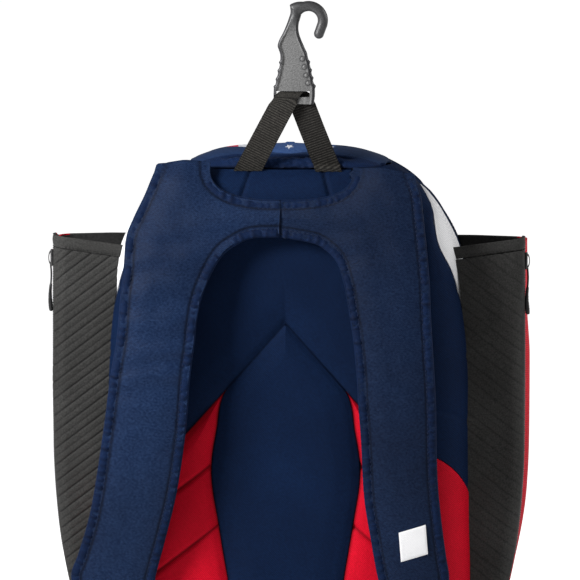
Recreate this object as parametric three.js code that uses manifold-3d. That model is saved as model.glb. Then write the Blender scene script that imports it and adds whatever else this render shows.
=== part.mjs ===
// Baseball bat backpack hanging from its fence hook, in millimetres, +Z up.
// The origin is the seat of the hook, where a fence wire carries the bag.
// The wearer's side faces -Y, so the shoulder straps stand off towards -Y.
import * as THREE from 'three';
import { mergeVertices } from 'three/addons/utils/BufferGeometryUtils.js';
import Module from 'manifold-3d';

const wasm = await Module();
wasm.setup();

// Sizes of the bag body.
const BODY_WIDTH = 366;
const BODY_HEIGHT = 508;
const BODY_DEPTH = 215;
const BODY_OFFSET = -23;
const CREST_RISE = 15;
const CLOTH_WALL = 2.4;
const BACK_PAD = 9;
const SEAM_GAP = 0.4;
const BACK_PANEL_WIDTH = 276;
const BOTTOM_TRAY_HEIGHT = 18;
const STAR_BAND_WIDTH = 54;
const MAIN_ZIP_WIDTH = 8;
const CENTER_PANEL_WIDTH = 149;
const CENTER_PANEL_HEIGHT = 319;
const CENTER_PANEL_TAIL = 20;
const BACK_PANEL_WRAP = 6;

// Sizes of the fence hook and its webbing.
const CROOK_RADIUS = 9.2;
const CROOK_BAND = 10.3;
const HOOK_THICKNESS = 10;
const HOOK_RIM = 2.6;
const HOOK_RECESS = 2;
const HOOK_FOOT_WIDTH = 41;
const SEAT_TO_SLOT = 80;
const SLOT_HEIGHT = 6;
const SLOT_WIDTH = 35;
const BAR_HEIGHT = 7;
const BAR_THICKNESS = 6;
const WEBBING_WIDTH = 25;
const WEBBING_THICKNESS = 1.6;
const FRONT_LEG_SPREAD = THREE.MathUtils.degToRad(27.8);
const REAR_LEG_SPREAD = THREE.MathUtils.degToRad(20.2);
const FOLD_SHIFT = 6.3;
const LOOP_HEIGHT = 73;

// Sizes of the bat sleeves.
const SLEEVE_REACH = 54;
const SLEEVE_DEPTH = 92;
const SLEEVE_HEIGHT = 400;
const SLEEVE_WALL = 3;
const SLEEVE_SET_BACK = 38;
const SLEEVE_BELOW_CREST = 90;
const SLEEVE_CORNER = 14;
const SLEEVE_MOUTH_RISE = 7;
const SLEEVE_HEM = 12.5;
const LINING_HEIGHT = 60;
const LINING_WALL = 1;
const NEAR_WALL_DEPTH = 14;
const SLEEVE_ZIP_WIDTH = 5;
const GROOVE_SPACING = 17;
const GROOVE_WIDTH = 2;
const GROOVE_DEPTH = 1.1;
const GROOVE_ANGLE = THREE.MathUtils.degToRad(37);
const SLIDER_LENGTH = 17;
const SLIDER_WIDTH = 7;
const SLIDER_THICKNESS = 5;
const PULL_CORD_LENGTH = 20;
const PULL_CORD_DIAMETER = 1.8;
const PULL_LENGTH = 27;
const PULL_WIDTH = 7.5;

// Sizes of the shoulder straps.
const HARNESS_DROP = 448;
const STRAP_THICKNESS = 14;
const STAND_LEFT = 42;
const STAND_RIGHT = 30;
const BINDING_WIDTH = 9;
const BINDING_THICKNESS = 9;
const NECK_WIDTH = 144;
const NECK_DEPTH = 41;
const NECK_TOP_LEFT = 6.5;
const NECK_TOP_RIGHT = 12;
const LABEL_WIDTH = 27;
const LABEL_HEIGHT = 30;
const LABEL_THICKNESS = 0.8;
const LOCK_WIDTH = 34;
const LOCK_HEIGHT = 24;
const LOCK_THICKNESS = 5;
const LOCK_BAR = 4;
const TAIL_LENGTH = 14;

// Heights that follow from the sizes.
const BAR_TOP = -(SEAT_TO_SLOT + SLOT_HEIGHT);
const TOP_SEAM = BAR_TOP - LOOP_HEIGHT;
const CREST = TOP_SEAM + CREST_RISE;
const BASE = CREST - BODY_HEIGHT;
const HARNESS_TOP = TOP_SEAM + CREST_RISE * 0.75;
const HALF_WIDTH = BODY_WIDTH / 2;
const ZIP_BACK = BODY_DEPTH * 0.62;
const STAR_BAND_BACK = BODY_DEPTH * 0.2;
const SLEEVE_MOUTH = CREST - SLEEVE_BELOW_CREST;
const SLEEVE_FAR = SLEEVE_SET_BACK + SLEEVE_DEPTH;
const ZIP_LINE = SLEEVE_SET_BACK + NEAR_WALL_DEPTH;

// Cutting blocks reach well past what they cut.
const FAR_OUT = BODY_WIDTH + 2 * SLEEVE_REACH;
const OVERCUT = 50;

// Fence hook's outline: the tip in shares of the crook's radius, the shank's two sides with out a
// share of the foot's width and drop of the height from seat to slot.
const HOOK_FOOT_MIDDLE = -0.346;
const HOOK_SLOT_MIDDLE = -0.376;
const HOOK_TIP = [
  { out: 1.62, drop: 2.76 }, { out: 1.14, drop: 3.07 }, { out: 0.65, drop: 2.76 }, { out: 0.53, drop: 2.39 },
];
const HOOK_SHANK_RIGHT = [
  { out: -0.22, drop: 0.125 }, { out: -0.246, drop: 0.232 }, { out: -0.22, drop: 0.304 },
  { out: -0.083, drop: 0.479 }, { out: -0.029, drop: 0.534 }, { out: 0.034, drop: 0.681 },
  { out: 0.12, drop: 0.898 }, { out: 0.154, drop: 0.94 },
];
const HOOK_SHANK_LEFT = [
  { out: -0.846, drop: 0.93 }, { out: -0.802, drop: 0.89 }, { out: -0.693, drop: 0.681 },
  { out: -0.68, drop: 0.548 }, { out: -0.746, drop: 0.431 }, { out: -0.544, drop: 0.178 },
  { out: -0.437, drop: 0.023 }, { out: -0.449, drop: -0.068 }, { out: -0.412, drop: -0.09 },
];

// Body sections: height is a share of the body's height above its base, half of half the width,
// and back, front and corner of the depth.
const BODY_SECTIONS = [
  { height: 0, half: 0.9, back: 0.035, front: 0.95, corner: 0.2 },
  { height: 0.03, half: 0.97, back: 0.006, front: 0.985, corner: 0.24 },
  { height: 0.08, half: 1, back: 0, front: 1, corner: 0.26 },
  { height: 0.3, half: 1, back: 0, front: 1, corner: 0.26 },
  { height: 0.55, half: 0.993, back: 0, front: 0.99, corner: 0.26 },
  { height: 0.7, half: 0.965, back: 0, front: 0.955, corner: 0.26 },
  { height: 0.8, half: 0.92, back: 0, front: 0.9, corner: 0.26 },
  { height: 0.875, half: 0.82, back: 0.004, front: 0.82, corner: 0.25 },
  { height: 0.92, half: 0.725, back: 0.02, front: 0.75, corner: 0.24 },
  { height: 0.957, half: 0.615, back: 0.06, front: 0.67, corner: 0.22 },
  { height: 0.985, half: 0.465, back: 0.15, front: 0.575, corner: 0.17 },
  { height: 1, half: 0.3, back: 0.26, front: 0.47, corner: 0.1 },
];

// Centre panel of the back below the chevron: drop is a share of its height below the apex,
// half a share of half its width.
const CENTER_PANEL_ROWS = [
  { drop: 0, half: 0.02 },
  { drop: 0.185, half: 0.8 },
  { drop: 0.3, half: 0.93 },
  { drop: 0.42, half: 1 },
  { drop: 0.57, half: 0.9 },
  { drop: 0.77, half: 0.74 },
  { drop: 1, half: 0.58 },
];

// Sleeve sections: height is a share of the sleeve's height, reach of its reach from the body.
const SLEEVE_SECTIONS = [
  { height: 0, reach: 0.3, depth: 0.8 },
  { height: 0.04, reach: 0.52, depth: 0.92 },
  { height: 0.16, reach: 0.76, depth: 1 },
  { height: 0.3, reach: 0.92, depth: 1 },
  { height: 0.48, reach: 1, depth: 1 },
  { height: 1, reach: 1, depth: 1 },
];

// Strap edges from the top corner down the outer edge, round the end, up the inner edge and
// along the arch to the centre seam: out is a share of half the body's width, drop of the harness.
const STRAP_EDGE_LEFT = [
  { out: 0.708, drop: 0.021 }, { out: 0.735, drop: 0.047 }, { out: 0.77, drop: 0.083 },
  { out: 0.822, drop: 0.128 }, { out: 0.863, drop: 0.172 }, { out: 0.874, drop: 0.237 },
  { out: 0.89, drop: 0.304 }, { out: 0.907, drop: 0.395 }, { out: 0.94, drop: 0.475 },
  { out: 0.973, drop: 0.578 }, { out: 1.02, drop: 0.705 }, { out: 1.063, drop: 0.797 },
  { out: 1.128, drop: 0.886 }, { out: 1.167, drop: 0.933 }, { out: 1.137, drop: 0.973 },
  { out: 1.04, drop: 0.996 }, { out: 0.913, drop: 1 }, { out: 0.79, drop: 0.989 },
  { out: 0.716, drop: 0.964 }, { out: 0.702, drop: 0.933 }, { out: 0.642, drop: 0.842 },
  { out: 0.587, drop: 0.752 }, { out: 0.549, drop: 0.663 }, { out: 0.522, drop: 0.574 },
  { out: 0.505, drop: 0.484 }, { out: 0.478, drop: 0.395 }, { out: 0.467, drop: 0.35 },
  { out: 0.445, drop: 0.306 }, { out: 0.404, drop: 0.261 }, { out: 0.333, drop: 0.212 },
  { out: 0.257, drop: 0.189 }, { out: 0.175, drop: 0.175 }, { out: 0.025, drop: 0.172 },
];
const STRAP_EDGE_RIGHT = [
  { out: 0.7, drop: 0.037 }, { out: 0.738, drop: 0.073 }, { out: 0.757, drop: 0.125 },
  { out: 0.795, drop: 0.259 }, { out: 0.806, drop: 0.348 }, { out: 0.82, drop: 0.4375 },
  { out: 0.833, drop: 0.529 }, { out: 0.842, drop: 0.708 }, { out: 0.861, drop: 0.799 },
  { out: 0.888, drop: 0.888 }, { out: 0.904, drop: 0.933 }, { out: 0.891, drop: 0.971 },
  { out: 0.825, drop: 0.993 }, { out: 0.716, drop: 1 }, { out: 0.601, drop: 0.991 },
  { out: 0.536, drop: 0.967 }, { out: 0.511, drop: 0.933 }, { out: 0.473, drop: 0.844 },
  { out: 0.44, drop: 0.754 }, { out: 0.423, drop: 0.62 }, { out: 0.407, drop: 0.531 },
  { out: 0.402, drop: 0.487 }, { out: 0.38, drop: 0.397 }, { out: 0.363, drop: 0.353 },
  { out: 0.344, drop: 0.308 }, { out: 0.32, drop: 0.263 }, { out: 0.281, drop: 0.223 },
  { out: 0.195, drop: 0.192 }, { out: 0.125, drop: 0.183 }, { out: -0.025, drop: 0.173 },
];
const CENTER_SEAM = -0.025;

// Side view of a strap's back face: seat is a share of the body's depth behind the back panel's
// plane, bulge a share of how far the strap stands off it.
const STRAP_PROFILE = [
  { drop: -0.03, seat: 0.26, bulge: 0 }, { drop: 0, seat: 0.14, bulge: 0 },
  { drop: 0.04, seat: 0.055, bulge: 0 }, { drop: 0.083, seat: 0.012, bulge: 0.02 },
  { drop: 0.128, seat: 0, bulge: 0.16 }, { drop: 0.172, seat: 0, bulge: 0.34 },
  { drop: 0.25, seat: 0, bulge: 0.64 }, { drop: 0.385, seat: 0, bulge: 0.9 },
  { drop: 0.52, seat: 0, bulge: 0.96 }, { drop: 0.65, seat: 0, bulge: 0.88 },
  { drop: 0.79, seat: 0, bulge: 0.68 }, { drop: 0.92, seat: 0, bulge: 0.48 },
  { drop: 1.01, seat: 0, bulge: 0.4 },
];

// White crescent of a side panel, seen from the side: back is a share of the body's depth,
// drop a share of the body's height below the crest.
const WHITE_CRESCENT = [
  { back: 0.3, drop: 0.02 }, { back: 0.16, drop: 0.11 }, { back: 0.105, drop: 0.18 },
  { back: 0.15, drop: 0.24 }, { back: 0.24, drop: 0.33 }, { back: 0.34, drop: 0.41 },
  { back: 0.44, drop: 0.38 }, { back: 0.5, drop: 0.25 }, { back: 0.46, drop: 0.02 },
];
// Top edge of the red foot of a side panel: drop where it meets the back's plane, and its fall
// for each millimetre forward.
const RED_SIDE_TOP = { drop: 0.588, fall: 1.15 };

function makeMaterial(color, roughness, metalness = 0) {
  return new THREE.MeshStandardMaterial({ color, roughness, metalness });
}

const materials = {
  navyTwill: makeMaterial(0x1d2f52, 0.75),
  navyMesh: makeMaterial(0x14233f, 0.85),
  red: makeMaterial(0xc3122f, 0.8),
  white: makeMaterial(0xe6e6ea, 0.6),
  grooved: makeMaterial(0x3a3a3b, 0.8),
  black: makeMaterial(0x161618, 0.85),
  plastic: makeMaterial(0x55565a, 0.5),
  webbing: makeMaterial(0x2e2b26, 0.9),
  zipMetal: makeMaterial(0x222225, 0.4, 0.6),
};

// Closed solids, booleans and prisms.
function solidOf(geometry) {
  let bare = geometry.clone();
  bare.deleteAttribute('normal');
  bare.deleteAttribute('uv');
  bare = mergeVertices(bare, 1e-4);
  const vertProperties = new Float32Array(bare.attributes.position.array);
  const triVerts = new Uint32Array(bare.index.array);
  return new wasm.Manifold(new wasm.Mesh({ numProp: 3, vertProperties, triVerts }));
}

function geometryOf(solid) {
  const mesh = solid.getMesh();
  const geometry = new THREE.BufferGeometry();
  geometry.setAttribute('position', new THREE.BufferAttribute(new Float32Array(mesh.vertProperties), 3));
  geometry.setIndex(new THREE.BufferAttribute(new Uint32Array(mesh.triVerts), 1));
  geometry.computeVertexNormals();
  return geometry;
}

// A prism of an outline drawn in X and Z, reaching from y0 to y1.
function prismAlongY(outline, y0, y1) {
  const shape = new THREE.Shape(outline);
  const geometry = new THREE.ExtrudeGeometry(shape, { depth: y1 - y0, bevelEnabled: false });
  geometry.rotateX(Math.PI / 2);
  geometry.translate(0, y1, 0);
  return solidOf(geometry);
}

// A prism of an outline drawn in Y and Z, reaching from x0 to x1.
function prismAlongX(outline, x0, x1) {
  const shape = new THREE.Shape(outline);
  const geometry = new THREE.ExtrudeGeometry(shape, { depth: x1 - x0, bevelEnabled: false });
  const axes = new THREE.Matrix4().makeBasis(
    new THREE.Vector3(0, 1, 0), new THREE.Vector3(0, 0, 1), new THREE.Vector3(1, 0, 0));
  geometry.applyMatrix4(axes);
  geometry.translate(x0, 0, 0);
  return solidOf(geometry);
}

function box(low, high) {
  const size = high.map((value, axis) => value - low[axis]);
  const geometry = new THREE.BoxGeometry(...size);
  geometry.translate(...low.map((value, axis) => value + size[axis] / 2));
  return solidOf(geometry);
}

// A solid through rings of equal length, each counter-clockwise seen from the last ring's end.
function loft(rings) {
  const count = rings[0].length;
  const points = rings.flat();
  const index = [];
  for (let ring = 0; ring < rings.length - 1; ring += 1) {
    for (let i = 0; i < count; i += 1) {
      const a = ring * count + i;
      const b = ring * count + (i + 1) % count;
      index.push(a, b, b + count, a, b + count, a + count);
    }
  }
  for (let i = 1; i < count - 1; i += 1) {
    const last = (rings.length - 1) * count;
    index.push(0, i + 1, i, last, last + i, last + i + 1);
  }
  const geometry = new THREE.BufferGeometry().setFromPoints(points);
  geometry.setIndex(index);
  return solidOf(geometry);
}

function roundedRing(x0, x1, y0, y1, corner, z) {
  const radius = Math.min(corner, (x1 - x0) / 2 - 1, (y1 - y0) / 2 - 1);
  const steps = 5;
  const centers = [[x0 + radius, y0 + radius], [x1 - radius, y0 + radius],
    [x1 - radius, y1 - radius], [x0 + radius, y1 - radius]];
  return centers.flatMap(([cx, cy], quarter) => Array.from({ length: steps + 1 }, (_, step) => {
    const angle = Math.PI + (quarter + step / steps) * Math.PI / 2;
    return new THREE.Vector3(cx + radius * Math.cos(angle), cy + radius * Math.sin(angle), z);
  }));
}

// The body's outer form, grown by a clearance or shrunk to its hollow.
function bodyForm(grow, backInset = 0, sideInset = 0) {
  const rings = BODY_SECTIONS.map((row) => {
    const half = HALF_WIDTH * row.half + grow - sideInset;
    const stretch = (BODY_HEIGHT + 2 * (grow - sideInset)) / BODY_HEIGHT;
    const z = BASE - (grow - sideInset) + row.height * BODY_HEIGHT * stretch;
    return roundedRing(BODY_OFFSET - half, BODY_OFFSET + half,
      row.back * BODY_DEPTH - grow + backInset, row.front * BODY_DEPTH + grow - sideInset,
      row.corner * BODY_DEPTH + grow - sideInset, z);
  });
  return loft(rings);
}

const group = new THREE.Group();
group.name = 'baseball_bat_backpack';

function addPiece(name, solid, material) {
  const mesh = new THREE.Mesh(geometryOf(solid), material);
  mesh.name = name;
  group.add(mesh);
}

const sides = [
  { name: 'left', sign: -1, strapEdge: STRAP_EDGE_LEFT, stand: STAND_LEFT, neckTop: NECK_TOP_LEFT },
  { name: 'right', sign: 1, strapEdge: STRAP_EDGE_RIGHT, stand: STAND_RIGHT, neckTop: NECK_TOP_RIGHT },
];
const halfGap = SEAM_GAP / 2;
const footCenter = HOOK_FOOT_MIDDLE * HOOK_FOOT_WIDTH;
const slotCenter = HOOK_SLOT_MIDDLE * HOOK_FOOT_WIDTH;
const bodyOuter = bodyForm(0);
const bodyClear = bodyForm(SEAM_GAP);
const bodyShell = bodyOuter.subtract(bodyForm(0, BACK_PAD, CLOTH_WALL));

// Fence hook: a flat moulding with a raised rim, a crook for the wire and a slot for the webbing.
function shankPoint(row) {
  return [row.out * HOOK_FOOT_WIDTH, -row.drop * SEAT_TO_SLOT];
}

function hookOutline() {
  const outer = CROOK_RADIUS + CROOK_BAND;
  const footBottom = BAR_TOP - BAR_HEIGHT;
  const shape = new THREE.Shape();
  shape.absarc(0, -CROOK_RADIUS, outer, Math.PI * 0.58, -Math.PI * 0.12, true);
  for (const row of HOOK_TIP) {
    shape.lineTo(row.out * CROOK_RADIUS, -row.drop * CROOK_RADIUS);
  }
  shape.absarc(0, -CROOK_RADIUS, CROOK_RADIUS, -Math.PI * 0.06, Math.PI * 0.78, false);
  for (const row of HOOK_SHANK_RIGHT) {
    shape.lineTo(...shankPoint(row));
  }
  shape.lineTo(footCenter + HOOK_FOOT_WIDTH / 2, footBottom);
  shape.lineTo(footCenter - HOOK_FOOT_WIDTH / 2, footBottom);
  for (const row of HOOK_SHANK_LEFT) {
    shape.lineTo(...shankPoint(row));
  }
  return shape.getPoints(10);
}

function insetOutline(points, inset) {
  const ring = points.slice(0, points[0].distanceTo(points.at(-1)) < 0.01 ? -1 : undefined);
  const turn = THREE.ShapeUtils.isClockWise(ring) ? -1 : 1;
  return ring.map((point, i) => {
    const before = ring.at(i - 1);
    const after = ring[(i + 1) % ring.length];
    const a = point.clone().sub(before).normalize();
    const b = after.clone().sub(point).normalize();
    const normal = new THREE.Vector2(-(a.y + b.y), a.x + b.x).normalize().multiplyScalar(turn);
    const half = Math.sqrt(Math.max(0.3, (1 + a.dot(b)) / 2));
    return point.clone().addScaledVector(normal, inset / half);
  });
}

function buildHook() {
  const outline = hookOutline();
  const halfThick = HOOK_THICKNESS / 2;
  let hook = prismAlongY(outline, -halfThick, halfThick);
  const face = insetOutline(outline, HOOK_RIM);
  hook = hook.subtract(prismAlongY(face, -halfThick - 1, -halfThick + HOOK_RECESS));
  hook = hook.subtract(prismAlongY(face, halfThick - HOOK_RECESS, halfThick + 1));
  const slotHalf = SLOT_WIDTH / 2;
  hook = hook.subtract(box([slotCenter - slotHalf, -HOOK_THICKNESS, BAR_TOP],
    [slotCenter + slotHalf, HOOK_THICKNESS, BAR_TOP + SLOT_HEIGHT]));
  for (const sign of [-1, 1]) {
    const near = Math.min(sign * BAR_THICKNESS / 2, sign * HOOK_THICKNESS);
    const far = Math.max(sign * BAR_THICKNESS / 2, sign * HOOK_THICKNESS);
    hook = hook.subtract(box([slotCenter - HOOK_FOOT_WIDTH, near, BAR_TOP - 2 * BAR_HEIGHT],
      [slotCenter + HOOK_FOOT_WIDTH, far, BAR_TOP + BAR_THICKNESS / 2]));
  }
  addPiece('fence_hook', hook, materials.plastic);
}

// Hook webbing: one flat strip that comes up in front of the bar, folds over it through the slot
// and goes down behind it, so that its two legs spread like an inverted V.
function buildHookWebbing() {
  const bend = BAR_THICKNESS / 2 + SEAM_GAP + WEBBING_THICKNESS / 2;
  const foldHeight = BAR_TOP;
  const legHeight = foldHeight - (TOP_SEAM - CREST_RISE);
  const seamBack = BODY_DEPTH * 0.13;
  const pastBar = BAR_HEIGHT * 1.3;
  const wrap = bend * Math.PI / 2;
  // Rows run level, in line with the fold: v is how far up the unfolded strip a row lies.
  const place = (v, edge, out) => {
    const spread = v < 0 ? FRONT_LEG_SPREAD : REAR_LEG_SPREAD;
    const past = Math.max(0, Math.abs(v) - wrap);
    const onFold = THREE.MathUtils.clamp(v / wrap, -1, 1) * FOLD_SHIFT;
    const turned = spread * Math.min(past / BAR_HEIGHT, 1);
    const middle = onFold + Math.sign(v) * past * Math.tan(spread);
    const u = middle + edge * WEBBING_WIDTH / 2 / Math.cos(turned);
    const angle = THREE.MathUtils.clamp(v / bend, -Math.PI / 2, Math.PI / 2);
    const straight = v - angle * bend;
    const radius = bend + out;
    const z = foldHeight + radius * Math.cos(angle) - Math.abs(straight);
    const belowBar = Math.max(0, Math.abs(straight) - pastBar);
    const lean = seamBack * (belowBar / (legHeight - pastBar)) ** 1.5;
    return new THREE.Vector3(slotCenter + u, radius * Math.sin(angle) + lean, z);
  };
  const thick = WEBBING_THICKNESS / 2;
  const legShares = [1, 0.85, 0.7, 0.5, 0.3, 0.12, 0.05];
  const wrapSteps = 10;
  const rows = [
    ...legShares.map((share) => -wrap - legHeight * share),
    ...Array.from({ length: wrapSteps + 1 }, (_, step) => wrap * (2 * step / wrapSteps - 1)),
    ...legShares.toReversed().map((share) => wrap + legHeight * share),
  ];
  const rings = rows.map((v) => [
    place(v, -1, -thick), place(v, -1, thick), place(v, 1, thick), place(v, 1, -thick),
  ]);
  addPiece('hook_webbing', loft(rings).subtract(bodyClear), materials.webbing);
}

// Body panels: the shell is cut along its seams, with a small gap at each.
function buildBody() {
  const trayTop = BASE + BOTTOM_TRAY_HEIGHT;
  const backHalf = BACK_PANEL_WIDTH / 2;
  const backReach = BACK_PAD + 0.06 * BODY_DEPTH + BACK_PANEL_WRAP;
  const low = BASE - OVERCUT;
  const high = CREST + OVERCUT;
  const slab = (y0, y1, z0, z1) => box([-FAR_OUT, y0, z0], [FAR_OUT, y1, z1]);
  const tray = bodyShell.intersect(slab(-OVERCUT, 2 * BODY_DEPTH, low, trayTop - halfGap));
  addPiece('bottom_panel', tray, materials.navyTwill);

  const aboveTray = bodyShell.intersect(slab(-OVERCUT, 2 * BODY_DEPTH, trayTop + halfGap, high));
  const zipFront = ZIP_BACK + MAIN_ZIP_WIDTH;
  const front = aboveTray.intersect(slab(zipFront + halfGap, 2 * BODY_DEPTH, low, high));
  addPiece('front_panel', front, materials.navyTwill);
  const zipBand = aboveTray.intersect(slab(ZIP_BACK + halfGap, zipFront - halfGap, low, high));
  addPiece('main_zip', zipBand, materials.black);
  const behindZip = aboveTray.intersect(slab(-OVERCUT, ZIP_BACK - halfGap, low, high));

  const crown = behindZip.intersect(slab(-OVERCUT, 2 * BODY_DEPTH, TOP_SEAM + halfGap, high));
  const bandFront = STAR_BAND_BACK + STAR_BAND_WIDTH;
  const behindBand = crown.intersect(slab(-OVERCUT, STAR_BAND_BACK - halfGap, low, high));
  addPiece('top_panel', behindBand, materials.navyTwill);
  const band = crown.intersect(slab(STAR_BAND_BACK + halfGap, bandFront - halfGap, low, high));
  addPiece('star_band', band, materials.white);
  const beforeBand = crown.intersect(slab(bandFront + halfGap, ZIP_BACK, low, high));
  addPiece('crown_panel', beforeBand, materials.navyTwill);

  const walls = behindZip.intersect(slab(-OVERCUT, 2 * BODY_DEPTH, low, TOP_SEAM - halfGap));
  const backZone = (gap) => box(
    [BODY_OFFSET - backHalf + gap, -OVERCUT, low], [BODY_OFFSET + backHalf - gap, backReach, high]);
  const back = walls.intersect(backZone(halfGap));
  buildBackPanels(back, backHalf);
  const sideWalls = walls.subtract(backZone(-halfGap));
  for (const side of sides) {
    buildSidePanels(side, sideWalls);
  }
}

// Back panels: an upper pad down to the chevron, a centre pad below it and a red pad each side.
function buildBackPanels(back, backHalf) {
  const apex = BASE + CENTER_PANEL_HEIGHT + BOTTOM_TRAY_HEIGHT;
  const bottom = BASE - CENTER_PANEL_TAIL;
  const centerOutline = (gap) => {
    const rows = CENTER_PANEL_ROWS.map((row) => ({
      half: row.half * CENTER_PANEL_WIDTH / 2 + gap,
      z: apex + gap - row.drop * (apex - bottom),
    }));
    const right = rows.map((row) => new THREE.Vector2(BODY_OFFSET + row.half, row.z));
    const left = rows.toReversed().map((row) => new THREE.Vector2(BODY_OFFSET - row.half, row.z));
    return [...right, ...left];
  };
  const shoulder = CENTER_PANEL_ROWS[1];
  const slope = shoulder.drop * (apex - bottom) / (shoulder.half * CENTER_PANEL_WIDTH / 2);
  const chevronOutline = (gap) => [
    new THREE.Vector2(BODY_OFFSET, apex + gap),
    new THREE.Vector2(BODY_OFFSET + 2 * backHalf, apex + gap - slope * 2 * backHalf),
    new THREE.Vector2(BODY_OFFSET + 2 * backHalf, bottom - 2 * BODY_HEIGHT),
    new THREE.Vector2(BODY_OFFSET - 2 * backHalf, bottom - 2 * BODY_HEIGHT),
    new THREE.Vector2(BODY_OFFSET - 2 * backHalf, apex + gap - slope * 2 * backHalf),
  ];
  const through = [-OVERCUT, BODY_DEPTH];
  addPiece('back_panel_upper', back.subtract(prismAlongY(chevronOutline(halfGap), ...through)),
    materials.navyMesh);
  const lower = back.intersect(prismAlongY(chevronOutline(-halfGap), ...through));
  addPiece('back_panel_center', lower.intersect(prismAlongY(centerOutline(-halfGap), ...through)),
    materials.navyMesh);
  const redZones = lower.subtract(prismAlongY(centerOutline(halfGap), ...through));
  for (const side of sides) {
    const inner = BODY_OFFSET;
    const outer = BODY_OFFSET + side.sign * FAR_OUT;
    const half = box([Math.min(inner, outer), -OVERCUT, 2 * BASE], [Math.max(inner, outer), BODY_DEPTH, 0]);
    addPiece(`back_panel_red_${side.name}`, redZones.intersect(half), materials.red);
  }
}

// Side panels: navy above, a white crescent set into the shoulder and a red foot.
function buildSidePanels(side, sideWalls) {
  const x0 = side.sign < 0 ? BODY_OFFSET - FAR_OUT : BODY_OFFSET;
  const x1 = side.sign < 0 ? BODY_OFFSET : BODY_OFFSET + FAR_OUT;
  const wall = sideWalls.intersect(box([x0, -OVERCUT, 2 * BASE], [x1, 2 * BODY_DEPTH, 0]));
  const crescentCurve = new THREE.SplineCurve(WHITE_CRESCENT.map((row) => (
    new THREE.Vector2(row.back * BODY_DEPTH, CREST - row.drop * BODY_HEIGHT))));
  const crescent = crescentCurve.getPoints(24);
  const redHeight = (y) => CREST - RED_SIDE_TOP.drop * BODY_HEIGHT - RED_SIDE_TOP.fall * y;
  const redLine = (gap) => [
    new THREE.Vector2(-OVERCUT, redHeight(-OVERCUT) + gap),
    new THREE.Vector2(-OVERCUT, 3 * BASE),
    new THREE.Vector2(2 * BODY_DEPTH, 3 * BASE),
    new THREE.Vector2(2 * BODY_DEPTH, redHeight(2 * BODY_DEPTH) + gap),
  ];
  const whitePrism = prismAlongX(crescent, x0, x1);
  const whiteCut = prismAlongX(insetOutline(crescent, -SEAM_GAP), x0, x1);
  addPiece(`side_panel_white_${side.name}`, wall.intersect(whitePrism), materials.white);
  const redFoot = wall.intersect(prismAlongX(redLine(-halfGap), x0, x1));
  addPiece(`side_panel_red_${side.name}`, redFoot, materials.red);
  const aboveRed = wall.subtract(prismAlongX(redLine(halfGap), x0, x1));
  addPiece(`side_panel_navy_${side.name}`, aboveRed.subtract(whiteCut), materials.navyMesh);
}

// Bat sleeve: a flat tube of stiff cloth sewn to the side, open at the top.
function sleeveForm(side, inset) {
  const bodySide = BODY_OFFSET + side.sign * HALF_WIDTH;
  const inner = BODY_OFFSET + side.sign * HALF_WIDTH * 0.6;
  const bottom = SLEEVE_MOUTH - SLEEVE_HEIGHT;
  const rings = SLEEVE_SECTIONS.map((row, i) => {
    const outer = bodySide + side.sign * (row.reach * SLEEVE_REACH - inset);
    const z = bottom + row.height * SLEEVE_HEIGHT
      + (i === 0 ? inset : 0) + (row.height === 1 ? SLEEVE_MOUTH_RISE + OVERCUT : 0);
    const spare = (1 - row.depth) * SLEEVE_DEPTH / 2;
    return roundedRing(Math.min(inner, outer), Math.max(inner, outer),
      SLEEVE_SET_BACK + spare + inset, SLEEVE_FAR - spare - inset, SLEEVE_CORNER - inset / 2, z);
  });
  return loft(rings);
}

// Everything below the mouth's plane, which rises outwards, lowered by a drop.
function belowMouth(side, drop) {
  const middle = SLEEVE_MOUTH - SLEEVE_MOUTH_RISE / 2 - drop;
  const edge = (out) => middle + out * SLEEVE_MOUTH_RISE / SLEEVE_REACH;
  const xAt = (out) => BODY_OFFSET + side.sign * (HALF_WIDTH + out);
  const outline = [
    new THREE.Vector2(xAt(-SLEEVE_REACH), edge(-SLEEVE_REACH)),
    new THREE.Vector2(xAt(2 * SLEEVE_REACH), edge(2 * SLEEVE_REACH)),
    new THREE.Vector2(xAt(2 * SLEEVE_REACH), 2 * BASE),
    new THREE.Vector2(xAt(-SLEEVE_REACH), 2 * BASE),
  ];
  return prismAlongY(outline, -BODY_DEPTH, 2 * BODY_DEPTH);
}

function sleeveGrooves(side) {
  const grooves = [];
  const middle = BODY_OFFSET + side.sign * (HALF_WIDTH + SLEEVE_REACH / 2);
  const count = Math.floor((SLEEVE_HEIGHT * 0.84 - SLEEVE_HEM) / GROOVE_SPACING);
  const vertical = GROOVE_WIDTH / Math.cos(GROOVE_ANGLE) / 2;
  const rise = SLEEVE_REACH * Math.tan(GROOVE_ANGLE);
  for (let i = 0; i < count; i += 1) {
    const z = SLEEVE_MOUTH - SLEEVE_HEM - GROOVE_SPACING * (i + 1.6);
    const tilt = side.sign * rise;
    const outline = [
      new THREE.Vector2(middle - SLEEVE_REACH, z + tilt - vertical),
      new THREE.Vector2(middle + SLEEVE_REACH, z - tilt - vertical),
      new THREE.Vector2(middle + SLEEVE_REACH, z - tilt + vertical),
      new THREE.Vector2(middle - SLEEVE_REACH, z + tilt + vertical),
    ];
    grooves.push(prismAlongY(outline, SLEEVE_SET_BACK - SLEEVE_WALL, SLEEVE_SET_BACK + GROOVE_DEPTH));
  }
  return wasm.Manifold.union(grooves);
}

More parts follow.
